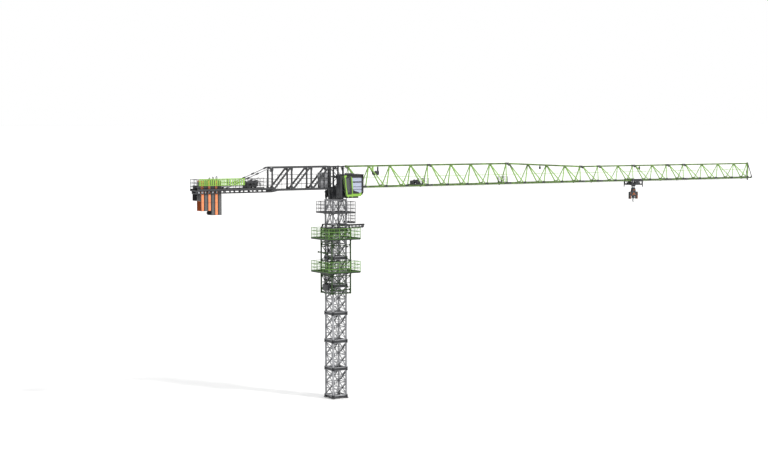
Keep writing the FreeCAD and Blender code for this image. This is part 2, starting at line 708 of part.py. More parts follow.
def counterweight(index):
    """A slab, wider below the deck, whose two lugs rest on the deck's side beams."""
    x0 = WEIGHT_REAR + index * WEIGHT_PITCH
    bottom = 19300 if index < 3 else 18890
    half, wide_half, shoulder = 395, 460, 20880
    slab = block(x0, x0 + WEIGHT_THICKNESS, -half, half, bottom, 22200)
    slab = slab.fuse(block(x0, x0 + WEIGHT_THICKNESS, -wide_half, wide_half, bottom, shoulder))
    middle = x0 + WEIGHT_THICKNESS / 2
    high = DECK_TOP - 30
    lugs = block(middle - 60, middle + 60, -COUNTER_HALF - 35, COUNTER_HALF + 35, high, high + 110)
    return join([slab, lugs])


def counterweights(indices):
    return group([counterweight(index) for index in indices])


def control_cabinets():
    """Two tall cabinets on the counter-jib's floor and one on a bracket behind the cab."""
    floor_z = COUNTER_Z + 60
    cabinets = [block(x, x + 410, -260, 240, floor_z, floor_z + 1540) for x in (-1940, -1440)]
    bracket_z = CAB_LOW - 110
    pieces = [block(CABINET_REAR, CABINET_FRONT, CAB_NEAR + 50, CAB_NEAR + 800, bracket_z + 80, CAB_TOP - 20)]
    for y in (CAB_NEAR + 150, CAB_NEAR + 600):
        pieces.append(block(CABINET_REAR, 250, y, y + 200, bracket_z, bracket_z + 80))
    return group(cabinets + [join(pieces)])


def cab_rear(z):
    """The cab's rear edge leans in towards its floor."""
    return CAB_REAR + (CAB_TOP - z) * (CAB_FLOOR_REAR - CAB_REAR) / (CAB_TOP - CAB_LOW)


def cab_side(y0, y1):
    """One side frame: a closed outline with a doorway and a window cut through."""
    outline = [(CAB_REAR, CAB_TOP), (CAB_FLOOR_REAR, CAB_LOW), (CAB_FLOOR_FRONT, CAB_LOW),
               (CAB_FRONT, CAB_LOW + 450), (CAB_FRONT, CAB_TOP)]
    frame = slab_xz(outline, y0, y1)
    frame = frame.cut(slab_xz(doorway(), y0, y1))
    return frame.cut(slab_xz(side_window(), y0, y1))


def doorway():
    top, low = CAB_TOP - 180, CAB_LOW + 180
    return [(cab_rear(top) + 110, top), (cab_rear(low) + 110, low), (760, low), (650, top)]


def side_window():
    top, low = CAB_TOP - 180, CAB_LOW + 250
    front = CAB_FRONT - 90
    return [(770, top), (875, low), (CAB_FLOOR_FRONT - 40, low), (front, CAB_LOW + 500), (front, top)]


def cab_side_frames():
    return group([cab_side(CAB_NEAR, CAB_NEAR + CAB_WALL), cab_side(CAB_FAR - CAB_WALL, CAB_FAR)])


def cab_floor():
    near, far = CAB_NEAR + CAB_WALL, CAB_FAR - CAB_WALL
    pieces = [block(CAB_FLOOR_REAR + 40, CAB_FLOOR_FRONT, near, far, CAB_LOW, CAB_LOW + 80)]
    for x in (250, 700):
        pieces.append(block(x, x + 110, CAB_NEAR, -TABLE_HALF, CAB_LOW - 110, CAB_LOW))
    return join(pieces)


def cab_rear_wall():
    top, low = CAB_TOP, CAB_LOW
    upper, lower = cab_rear(top), cab_rear(low)
    outline = [(upper, top), (lower, low), (lower + 40, low), (upper + 40, top)]
    return slab_xz(outline, CAB_NEAR + CAB_WALL, CAB_FAR - CAB_WALL)


def cab_roof():
    return block(CAB_REAR - 20, CAB_FRONT + 110, CAB_NEAR - 30, CAB_FAR + 30, CAB_TOP, CAB_TOP + 90)


def cab_glazing():
    """Side panes fill their windows; two panes close the front."""
    panes = []
    for y in (CAB_NEAR + 15, CAB_FAR - 30):
        panes.append(slab_xz(side_window(), y, y + 15))
    knee = CAB_LOW + 450
    inside = (CAB_NEAR + CAB_WALL, CAB_FAR - CAB_WALL)
    panes.append(block(CAB_FRONT - 40, CAB_FRONT - 20, *inside, knee, CAB_TOP))
    lower = [(CAB_FLOOR_FRONT, CAB_LOW), (CAB_FRONT - 20, knee), (CAB_FRONT - 40, knee),
             (CAB_FLOOR_FRONT, CAB_LOW + 45)]
    panes.append(slab_xz(lower, *inside))
    return group(panes)


def cab_doors():
    """The door on the outer side and the plain panel opposite it."""
    return group([slab_xz(doorway(), y, y + 30) for y in (CAB_NEAR + 10, CAB_FAR - 40)])


# ---- trolley --------------------------------------------------------------
def mirrored(right):
    """A closed outline about the trolley's middle from its right half, top point first."""
    outline = [(TROLLEY_X + x, z) for x, z in right]
    return outline + [(TROLLEY_X - x, z) for x, z in reversed(right)]


def trolley_frame():
    """Two side plates with end legs, two middle plates for the sheaves and four cross beams."""
    x, low, half = TROLLEY_X, TROLLEY_LOW, TROLLEY_HALF
    side_right = [(half - 130, low + 700), (half, low + 500), (half, low - 240), (half - 90, low - 240),
                  (half - 140, low)]
    middle_right = [(half, low + 260), (half, low), (250, low), (150, low - 200)]
    side, middle = mirrored(side_right), mirrored(middle_right)
    pieces = []
    for hand in (-1, 1):
        a, b = sorted((hand * TROLLEY_SIDE, hand * (TROLLEY_SIDE + TROLLEY_PLATE)))
        plate = slab_xz(side, a, b)
        for x0 in (x - 620, x + 270):
            plate = plate.cut(block(x0, x0 + 350, a, b, low + 160, low + 420))
        pieces.append(plate)
        a, b = sorted((hand * CHEEK_OUTER, hand * (CHEEK_OUTER + 25)))
        pieces.append(slab_xz(middle, a, b))
    reach = TROLLEY_SIDE + 20
    for dx in (-half + 30, -100, 100, half - 30):
        pieces.append(block(x + dx - 30, x + dx + 30, -reach, reach, low, low + 100))
    frame = join(pieces)
    for dx in (-WHEEL_X, WHEEL_X):
        frame = frame.cut(rod((x + dx, -800, WHEEL_Z), (x + dx, 800, WHEEL_Z), WHEEL_AXLE_R))
    return frame


def trolley_wheels():
    """Four wheels that run on the flanges, each on a stub axle through the side plate."""
    wheels = []
    for dx in (-WHEEL_X, WHEEL_X):
        for hand in (-1, 1):
            x = TROLLEY_X + dx
            tread = rod((x, hand * 590, WHEEL_Z), (x, hand * (TROLLEY_SIDE - 5), WHEEL_Z), WHEEL_R)
            axle = rod((x, hand * 600, WHEEL_Z), (x, hand * (TROLLEY_SIDE + 45), WHEEL_Z), WHEEL_AXLE_R)
            wheels.append(join([tread, axle]))
    return group(wheels)


def sheave(x, z, cheek):
    """A grooved rope wheel on a pin between two cheeks."""
    wheel = rod((x, -35, z), (x, 35, z), SHEAVE_R)
    groove = ring((x, -14, z), Y_AXIS, SHEAVE_R + 5, SHEAVE_R - GROOVE_DEPTH, 28)
    return join([wheel.cut(groove), rod((x, -cheek, z), (x, cheek, z), 32)])


def trolley_sheaves():
    xs = (TROLLEY_X - TROLLEY_SHEAVE_X, TROLLEY_X + TROLLEY_SHEAVE_X)
    return group([sheave(x, TROLLEY_SHEAVE_Z, CHEEK_OUTER) for x in xs])


def rope_falls():
    """The two falls between the trolley's sheaves and the hook block's sheave."""
    falls = []
    for x in (TROLLEY_X - ROPE_LINE, TROLLEY_X + ROPE_LINE):
        falls.append(rod((x, 0, BLOCK_SHEAVE_Z), (x, 0, TROLLEY_SHEAVE_Z), ROPE_R))
    return group(falls)


# ---- hook block -----------------------------------------------------------
def hook_block_cheeks():
    """Two plates, each a narrow head round the sheave over a body with three legs."""
    shoulder, body, leg = BLOCK_SHOULDER, BLOCK_BODY_LOW, BLOCK_LEG_LOW
    right = [(120, BLOCK_HEAD_TOP), (220, BLOCK_HEAD_TOP - 100), (300, shoulder + 20), (370, shoulder),
             (560, shoulder), (600, shoulder - 60), (600, leg + 50), (560, leg), (400, leg), (360, leg + 50),
             (360, body + 20), (250, body), (130, body - 60), (130, CROSSHEAD_LOW)]
    outline = mirrored(right)
    pieces = []
    for hand in (-1, 1):
        a, b = sorted((hand * CHEEK_INNER, hand * CHEEK_OUTER))
        pieces.append(slab_xz(outline, a, b))
    x = TROLLEY_X
    pieces.append(block(x - 130, x + 130, -CHEEK_OUTER, CHEEK_OUTER, CROSSHEAD_LOW, CROSSHEAD_TOP))
    boss = CHEEK_OUTER + 20
    pieces.append(rod((x, -boss, 19700), (x, boss, 19700), 115))
    for dx in (-480, 480):
        for z in (leg + 80, shoulder - 150):
            pieces.append(rod((x + dx, -boss, z), (x + dx, boss, z), 45))
    cheeks = join(pieces)
    return cheeks.cut(rod((x, 0, CROSSHEAD_LOW), (x, 0, CROSSHEAD_TOP), SHANK_R + 2))


def hook_block_sheave():
    return sheave(TROLLEY_X, BLOCK_SHEAVE_Z, CHEEK_INNER)


def hook():
    """A forged hook: shank, nut above the crosshead, and a bent body with an open throat."""
    x, top, low, eye = TROLLEY_X, CROSSHEAD_TOP, CROSSHEAD_LOW, HOOK_EYE_Z
    shank = rod((x, 0, eye + 110), (x, 0, top + 20), SHANK_R)
    nut = rod((x, 0, top + 12), (x, 0, top + 80), SHANK_R + 12)
    collar = rod((x, 0, low - 50), (x, 0, low - 12), SHANK_R + 20)
    bowl = ring((x, -42, eye), Y_AXIS, HOOK_OUTER, HOOK_INNER, 84)
    throat = block(x + 25, x + 200, -50, 50, eye - 10, eye + 200)
    neck = [(x - 40, low - 40), (x + 40, low - 40), (x + 46, eye + 100), (x - 95, eye + 100)]
    tip = [(x + 82, eye - 25), (x + 168, eye - 25), (x + 185, eye + 50), (x + 140, eye + 28)]
    body = [slab_xz(neck, -42, 42), slab_xz(tip, -35, 35)]
    return join([bowl.cut(throat), shank, nut, collar] + body)


def save_mast():
    save("base_frame", base_frame())
    for index in range(SECTION_COUNT):
        save("mast_section_%d" % (index + 1), mast_section(mast_joint(index), mast_joint(index + 1)))
    save("mast_ladders", mast_ladders())
    save("rest_platforms", rest_platforms())
    save("mast_head", mast_head())
    save("slewing_ring_fixed", ring((0, 0, RING_Z), Z_AXIS, RING_OUTER, RING_INNER, RING_HEIGHT))
    save("slewing_platform", slewing_platform())
    save("slewing_railing", square_railing(SLEW_PLATFORM_HALF, SLEW_PLATFORM_TOP, SLEW_RAILING_HEIGHT))
    save("hanging_platform", hanging_platform())
    save("climbing_frame", climbing_frame())
    save("climbing_platforms", climbing_platforms())
    save("climbing_railings", climbing_railings())
    save("monorail_beam", monorail_beam())
    save("pump_unit", pump_unit())
    save("jacking_cylinder", jacking_cylinder())


def save_upper_works():
    save("slewing_ring_turning", ring((0, 0, TURNING_Z), Z_AXIS, RING_OUTER, RING_INNER, TABLE_Z - TURNING_Z))
    save("turntable", turntable())
    save("turret", turret())
    start = JIB_ROOT
    for index, length in enumerate(JIB_LENGTHS):
        save("jib_section_%d" % (index + 1), jib_section(start, start + length, start < JIB_TAPER_END))
        start += length
    save("jib_tip", jib_tip(start))
    save("jib_ropes", jib_ropes(start))
    save("pulley_bracket", pulley_bracket())
    save("trolley_winch_frame", trolley_winch_frame())
    save("counter_jib_truss", counter_jib_truss())
    save("counter_jib_deck", counter_jib_deck())
    save("counter_jib_ties", counter_jib_ties())
    save("deck_railing", deck_railing())
    save("sign_board", sign_board())
    save("tail_blocks", tail_blocks())
    save("counterweights_orange", counterweights((0, 2, 4)))
    save("counterweights_grey", counterweights((1, 3, 5)))
    save("hoist_winch_frame", hoist_winch_frame())
    save("control_cabinets", control_cabinets())


def save_cab():
    save("cab_floor", cab_floor())
    save("cab_side_frames", cab_side_frames())
    save("cab_rear_wall", cab_rear_wall())
    save("cab_roof", cab_roof())
    save("cab_glazing", cab_glazing())
    save("cab_doors", cab_doors())


def save_moving_pieces():
    save("hoist_drum", winch_drum(HOIST_DRUM_X, HOIST_DRUM_Z, HOIST_DRUM_R, HOIST_CHEEK_HALF))
    save("trolley_drum", winch_drum(TROLLEY_DRUM_X, TROLLEY_DRUM_Z, TROLLEY_DRUM_R, TROLLEY_CHEEK_HALF))
    save("trolley_frame", trolley_frame())
    save("trolley_wheels", trolley_wheels())
    save("trolley_sheaves", trolley_sheaves())
    save("rope_falls", rope_falls())
    save("hook_block_cheeks", hook_block_cheeks())
    save("hook_block_sheave", hook_block_sheave())
    save("hook", hook())


os.makedirs("parts", exist_ok=True)
save_mast()
save_upper_works()
save_cab()
save_moving_pieces()
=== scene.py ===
"""Looks of the flat-top tower crane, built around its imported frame.

Lengths are metres of the full-size crane; Builder.make() shrinks them to the 1:2 model.
"""
import math
import json

import bmesh
import bpy
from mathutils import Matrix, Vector


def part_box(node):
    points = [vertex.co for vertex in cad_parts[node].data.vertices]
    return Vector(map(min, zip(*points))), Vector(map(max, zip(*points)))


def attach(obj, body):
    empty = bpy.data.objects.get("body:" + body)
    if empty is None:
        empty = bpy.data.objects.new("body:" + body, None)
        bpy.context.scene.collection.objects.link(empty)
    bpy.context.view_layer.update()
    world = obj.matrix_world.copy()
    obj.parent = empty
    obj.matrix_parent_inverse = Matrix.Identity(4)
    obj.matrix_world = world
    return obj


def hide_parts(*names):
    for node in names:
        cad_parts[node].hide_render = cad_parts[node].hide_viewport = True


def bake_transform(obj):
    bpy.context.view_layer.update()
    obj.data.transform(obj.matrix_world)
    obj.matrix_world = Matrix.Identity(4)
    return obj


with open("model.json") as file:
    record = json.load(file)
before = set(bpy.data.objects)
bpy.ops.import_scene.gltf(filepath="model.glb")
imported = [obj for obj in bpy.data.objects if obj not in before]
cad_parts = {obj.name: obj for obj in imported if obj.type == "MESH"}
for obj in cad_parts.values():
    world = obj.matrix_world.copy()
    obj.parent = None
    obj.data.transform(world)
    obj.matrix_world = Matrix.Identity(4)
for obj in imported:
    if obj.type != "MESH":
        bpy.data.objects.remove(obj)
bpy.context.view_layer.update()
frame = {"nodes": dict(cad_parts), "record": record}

SCALE = 0.5
ALONG_X, ALONG_Y, ALONG_Z = (1, 0, 0), (0, 1, 0), (0, 0, 1)
SIDES = (-1, 1)


def real_box(node):
    """Lowest and highest corner of a CAD node in full-size metres."""
    low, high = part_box(node)
    return low / SCALE, high / SCALE


# ---- camera, light and floor ----------------------------------------------
CAMERA_PLACE = (-80.7, -140.8, 27.95)
CAMERA_HEADING = math.radians(31.53)
CAMERA_PITCH = math.radians(3.84)
CAMERA_LENS = 75.9
CAMERA_SENSOR = 36
CAMERA_REACH = 4000
FLOOR_HALF = 3000
FLOOR_TONE = 0.9


def add_camera():
    data = bpy.data.cameras.new("camera")
    data.lens = CAMERA_LENS
    data.sensor_width = CAMERA_SENSOR
    data.clip_end = CAMERA_REACH
    camera = bpy.data.objects.new("camera", data)
    camera.location = Vector(CAMERA_PLACE) * SCALE
    camera.rotation_euler = (math.pi / 2 - CAMERA_PITCH, 0, -CAMERA_HEADING)
    bpy.context.scene.collection.objects.link(camera)
    bpy.context.scene.camera = camera


def add_sun(name, strength, angle, rotation, colour):
    """A sun whose angle and rotation are in degrees."""
    data = bpy.data.lights.new(name, "SUN")
    data.energy = strength
    data.angle = math.radians(angle)
    data.color = colour
    sun = bpy.data.objects.new(name, data)
    sun.rotation_euler = [math.radians(a) for a in rotation]
    bpy.context.scene.collection.objects.link(sun)


def add_world():
    """Even white studio light, shown without tone mapping so that the backdrop stays white."""
    world = bpy.data.worlds.new("studio")
    world.use_nodes = True
    background = world.node_tree.nodes["Background"]
    background.inputs["Color"].default_value = (1.0, 1.0, 1.0, 1)
    background.inputs["Strength"].default_value = 1.0
    bpy.context.scene.world = world
    bpy.context.scene.view_settings.view_transform = "Standard"


def add_floor():
    """A pale floor that runs to the horizon."""
    mesh = bpy.data.meshes.new("floor")
    half = FLOOR_HALF
    corners = [(-half, -half, 0), (half, -half, 0), (half, half, 0), (-half, half, 0)]
    mesh.from_pydata(corners, [], [(0, 1, 2, 3)])
    floor = bpy.data.objects.new("floor", mesh)
    bpy.context.scene.collection.objects.link(floor)
    material = bpy.data.materials.new("floor")
    material.use_nodes = True
    shader = material.node_tree.nodes["Principled BSDF"]
    shader.inputs["Base Color"].default_value = (FLOOR_TONE, FLOOR_TONE, FLOOR_TONE, 1)
    shader.inputs["Roughness"].default_value = 0.9
    shader.inputs["Specular IOR Level"].default_value = 0.1
    mesh.materials.append(material)


add_camera()
add_world()
add_sun("key", strength=1.5, angle=5, rotation=(48, 0, 28), colour=(1.0, 0.98, 0.95))
add_sun("fill", strength=0.25, angle=20, rotation=(50, 0, 120), colour=(0.93, 0.96, 1.0))
add_floor()


# ---- materials -------------------------------------------------------------
class Shader:
    """A node material with the few links that the finishes below need."""

    def __init__(self, name):
        self.material = bpy.data.materials.new(name)
        self.material.use_nodes = True
        self.nodes = self.material.node_tree.nodes
        self.links = self.material.node_tree.links
        self.surface = self.nodes["Principled BSDF"]
        self.place = self.nodes.new("ShaderNodeTexCoord").outputs["Object"]

    def noise(self, scale, detail=3.0, stretch=(1, 1, 1)):
        mapping = self.nodes.new("ShaderNodeMapping")
        mapping.inputs["Scale"].default_value = stretch
        self.links.new(self.place, mapping.inputs["Vector"])
        node = self.nodes.new("ShaderNodeTexNoise")
        node.inputs["Scale"].default_value = scale
        node.inputs["Detail"].default_value = detail
        self.links.new(mapping.outputs["Vector"], node.inputs["Vector"])
        return node.outputs["Fac"]

    def ramp(self, factor, stops):
        node = self.nodes.new("ShaderNodeValToRGB")
        elements = node.color_ramp.elements
        elements[0].position, elements[0].color = stops[0][0], (*stops[0][1], 1)
        elements[1].position, elements[1].color = stops[-1][0], (*stops[-1][1], 1)
        for position, colour in stops[1:-1]:
            element = elements.new(position)
            element.color = (*colour, 1)
        self.links.new(factor, node.inputs["Fac"])
        return node.outputs["Color"]

    def mix(self, factor, a, b):
        node = self.nodes.new("ShaderNodeMix")
        node.data_type = "RGBA"
        self.links.new(factor, node.inputs["Factor"])
        for socket, value in ((node.inputs[6], a), (node.inputs[7], b)):
            if isinstance(value, tuple):
                socket.default_value = (*value, 1)
            else:
                self.links.new(value, socket)
        return node.outputs[2]

    def span(self, factor, low, high, start=0.0, end=1.0):
        """Map start..end of a factor to low..high, held at both ends."""
        node = self.nodes.new("ShaderNodeMapRange")
        node.inputs["From Min"].default_value = start
        node.inputs["From Max"].default_value = end
        node.inputs["To Min"].default_value = low
        node.inputs["To Max"].default_value = high
        self.links.new(factor, node.inputs["Value"])
        return node.outputs["Result"]

    def height(self):
        """The surface's height in the model."""
        node = self.nodes.new("ShaderNodeSeparateXYZ")
        self.links.new(self.place, node.inputs["Vector"])
        return node.outputs["Z"]

    def product(self, a, b):
        node = self.nodes.new("ShaderNodeMath")
        node.operation = "MULTIPLY"
        self.links.new(a, node.inputs[0])
        self.links.new(b, node.inputs[1])
        return node.outputs["Value"]

    def bump(self, height, strength, distance):
        node = self.nodes.new("ShaderNodeBump")
        node.inputs["Strength"].default_value = strength
        node.inputs["Distance"].default_value = distance
        self.links.new(height, node.inputs["Height"])
        self.links.new(node.outputs["Normal"], self.surface.inputs["Normal"])

    def set(self, name, value):
        if isinstance(value, (int, float)):
            self.surface.inputs[name].default_value = value
        elif isinstance(value, tuple):
            self.surface.inputs[name].default_value = (*value, 1)
        else:
            self.links.new(value, self.surface.inputs[name])


def shade(colour, factor):
    return tuple(min(1.0, c * factor) for c in colour)


def painted_steel(name, colour, gloss=0.42, weathering=0.35, dark_band_heights=()):
    """Sprayed paint: cloudy tone, rain streaks and orange peel; blotchy dark bands at the given heights."""
    shader = Shader(name)
    clouds = shader.noise(1.7, 4)
    tone = shader.ramp(clouds, [(0.3, shade(colour, 0.82)), (0.52, colour), (0.72, shade(colour, 1.18))])
    streaks = shader.noise(5.0, 5, (3, 3, 0.35))
    tone = shader.mix(shader.span(streaks, 0, weathering * 1.6, 0.2, 0.9), tone, shade(colour, 0.5))
    if dark_band_heights:
        blotches = shader.span(shader.noise(3.3, 4), 0.6, 1.0, 0.36, 0.54)
    for centre, reach in dark_band_heights:
        above = shader.span(shader.height(), 0.0, 1.0, centre - reach, centre)
        below = shader.span(shader.height(), 1.0, 0.0, centre, centre + reach)
        band = shader.product(shader.product(above, below), blotches)
        tone = shader.mix(band, tone, shade(colour, 0.1))
    shader.set("Base Color", tone)
    shader.set("Roughness", shader.span(shader.noise(9, 3), gloss - 0.08, gloss + 0.14))
    shader.set("Specular IOR Level", 0.45)
    shader.bump(shader.noise(160, 2), 0.12, 0.002)
    return shader.material


def bare_steel(name, colour, roughness=0.35, grain=(1, 1, 12)):
    """Machined or forged steel with a drawn grain."""
    shader = Shader(name)
    fine = shader.noise(60, 4, grain)
    shader.set("Base Color", shader.ramp(fine, [(0.3, shade(colour, 0.75)), (0.7, shade(colour, 1.15))]))
    shader.set("Metallic", 0.85)
    shader.set("Roughness", shader.span(fine, roughness - 0.08, roughness + 0.15))
    shader.bump(fine, 0.2, 0.001)
    return shader.material


def cast_block(name, colour, shine=0.5):
    """Painted concrete: pores, soft clouds and worn paint."""
    shader = Shader(name)
    pores = shader.noise(38, 6)
    clouds = shader.noise(2.4, 5)
    tone = shader.ramp(clouds, [(0.28, shade(colour, 0.8)), (0.5, colour), (0.8, shade(colour, 1.1))])
    speck = shader.span(pores, 1.0, 0.0, 0.30, 0.36)
    shader.set("Base Color", shader.mix(speck, tone, shade(colour, 0.6)))
    shader.set("Roughness", shader.span(pores, 0.75, 0.95))
    shader.set("Specular IOR Level", shine)
    shader.bump(pores, 0.5, 0.006)
    return shader.material


def wire_rope(name):
    """Greased strands: a slanting wave stands for the lay of the rope."""
    shader = Shader(name)
    wave = shader.nodes.new("ShaderNodeTexWave")
    wave.bands_direction = "DIAGONAL"
    wave.inputs["Scale"].default_value = 45
    wave.inputs["Distortion"].default_value = 0.4
    shader.links.new(shader.place, wave.inputs["Vector"])
    strand = wave.outputs["Fac"]
    shader.set("Base Color", shader.ramp(strand, [(0.2, (0.03, 0.03, 0.032)), (0.9, (0.2, 0.2, 0.21))]))
    shader.set("Metallic", 0.7)
    shader.set("Roughness", 0.42)
    shader.bump(strand, 0.6, 0.002)
    return shader.material


def tinted_glass(name, colour, alpha):
    """Coated glass with a very slight ripple and a thin film of dust."""
    shader = Shader(name)
    dust = shader.noise(2.2, 4, (1, 1, 2))
    shader.set("Base Color", shader.ramp(dust, [(0.3, shade(colour, 0.9)), (0.75, shade(colour, 1.08))]))
    shader.set("Roughness", shader.span(dust, 0.03, 0.12))
    shader.set("Alpha", alpha)
    shader.set("Specular IOR Level", 0.8)
    shader.set("Coat Weight", 0.4)
    shader.bump(shader.noise(3, 2), 0.03, 0.01)
    return shader.material


def rubber(name, colour):
    """Moulded rubber or plastic with a fine matt grain."""
    shader = Shader(name)
    grain = shader.noise(30, 4)
    shader.set("Base Color", shader.ramp(grain, [(0.3, shade(colour, 0.7)), (0.7, shade(colour, 1.3))]))
    shader.set("Roughness", 0.78)
    shader.bump(shader.noise(220, 3), 0.25, 0.001)
    return shader.material


JIB_GREEN = (0.28, 0.5, 0.11)
# The cage's green paint darkened into painted shade.
CAGE_SHADE_GREEN = (0.022, 0.055, 0.012)
BRIGHT_GREEN = (0.28, 0.54, 0.07)
MAST_GREY = (0.33, 0.335, 0.35)
DARK_GREY = (0.03, 0.032, 0.036)
FRAME_GREY = (0.05, 0.052, 0.056)

# Centre height and reach of the blotchy dark band on each chord, in metres of the model.
CHORD_REACH = 0.09
TAPER_REACH = 0.26
ROOT_LOW, ROOT_HIGH = real_box("jib_section_1")
OUTER_HIGH = real_box("jib_section_8")[1]
LOW_CHORD = (ROOT_LOW.z * SCALE + 0.045, CHORD_REACH)
ROOT_TOP_CHORD = (ROOT_HIGH.z * SCALE - 0.05, CHORD_REACH)
OUTER_TOP_CHORD = (OUTER_HIGH.z * SCALE - 0.05, CHORD_REACH)
TAPER_TOP_CHORD = ((ROOT_TOP_CHORD[0] + OUTER_TOP_CHORD[0]) / 2, TAPER_REACH)

# Each finish: the function that makes it and what follows the name.
FINISH_RECIPES = {
    "jib_green": (painted_steel, JIB_GREEN, 0.42, 0.3),
    "jib_inner": (painted_steel, JIB_GREEN, 0.42, 0.3, (LOW_CHORD, ROOT_TOP_CHORD)),
    "jib_middle": (painted_steel, JIB_GREEN, 0.42, 0.3, (LOW_CHORD, TAPER_TOP_CHORD)),
    "jib_outer": (painted_steel, JIB_GREEN, 0.42, 0.3, (LOW_CHORD, OUTER_TOP_CHORD)),
    # Climbing cage green with its shade painted in.
    "cage_green": (painted_steel, CAGE_SHADE_GREEN, 0.42, 0.4),
    "rail_green": (painted_steel, (0.16, 0.36, 0.055), 0.42, 0.6),
    "cage_trim": (painted_steel, (0.06, 0.16, 0.025), 0.42, 0.9),
    "cab_green": (painted_steel, BRIGHT_GREEN, 0.3, 0.2),
    "mast_steel": (painted_steel, MAST_GREY, 0.5),
    "panel_grey": (painted_steel, (0.33, 0.34, 0.35), 0.45, 0.2),
    "pale_steel": (painted_steel, (0.55, 0.57, 0.6), 0.45, 0.3),
    "dark_steel": (painted_steel, DARK_GREY, 0.45),
    "frame_steel": (painted_steel, FRAME_GREY, 0.48),
    "weight_orange": (cast_block, (0.84, 0.27, 0.11)),
    # Dark orange that paints the shade on the rear face of the last weight slab.
    "weight_brown": (cast_block, (0.17, 0.032, 0.001), 0.1),
    "weight_grey": (cast_block, (0.115, 0.115, 0.115)),
    "tail_black": (cast_block, (0.006, 0.006, 0.0065), 0.1),
    "slate_steel": (painted_steel, (0.028, 0.036, 0.042), 0.4, 0.4),
    "block_orange": (painted_steel, (0.42, 0.115, 0.025), 0.4, 0.5),
    "hook_steel": (bare_steel, (0.17, 0.17, 0.18)),
    "bolt_steel": (bare_steel, (0.3, 0.3, 0.31), 0.3),
    "wire_rope": (wire_rope,),
    "cab_glass": (tinted_glass, (0.46, 0.51, 0.66), 0.78),
    "dark_glass": (tinted_glass, (0.03, 0.035, 0.04), 0.96),
    "rubber": (rubber, (0.02, 0.02, 0.022)),
    "seat_fabric": (rubber, (0.05, 0.055, 0.07)),
}
FINISH = {name: make(name, *values) for name, (make, *values) in FINISH_RECIPES.items()}
NODES_OF_FINISH = {
    "frame_steel": (
        "base_frame", "rest_platforms", "slewing_platform", "slewing_railing", "hanging_platform",
        "monorail_beam", "counter_jib_truss", "counter_jib_deck", "deck_railing",
    ),
    "rail_green": ("climbing_railings",),
    "mast_steel": ("counter_jib_ties",),
    "slate_steel": ("hook_block_cheeks",),
    "dark_steel": ("trolley_frame",),
    "tail_black": ("tail_blocks",),
    "jib_inner": ("jib_section_1", "jib_section_2"),
    "jib_middle": ("jib_section_3",),
    "jib_outer": tuple("jib_section_%d" % section for section in range(4, 9)),
}
NODE_FINISH = {node: finish for finish, nodes in NODES_OF_FINISH.items() for node in nodes}


def paint_frame():
    """Give every CAD node its finish."""
    slots = {part["node"]: part["material_slot"] for part in frame["record"]["subparts"]}
    for name, node in frame["nodes"].items():
        node.data.materials.clear()
        node.data.materials.append(FINISH[NODE_FINISH.get(name, slots[name])])


paint_frame()


# ---- mesh tools -------------------------------------------------------------
BEVEL_FROM = 0.6  # radians between two faces
SHARP_FROM = math.radians(35)
BOX_FACES = [(0, 1, 3, 2), (4, 6, 7, 5), (0, 4, 5, 1), (2, 3, 7, 6), (0, 2, 6, 4), (1, 5, 7, 3)]


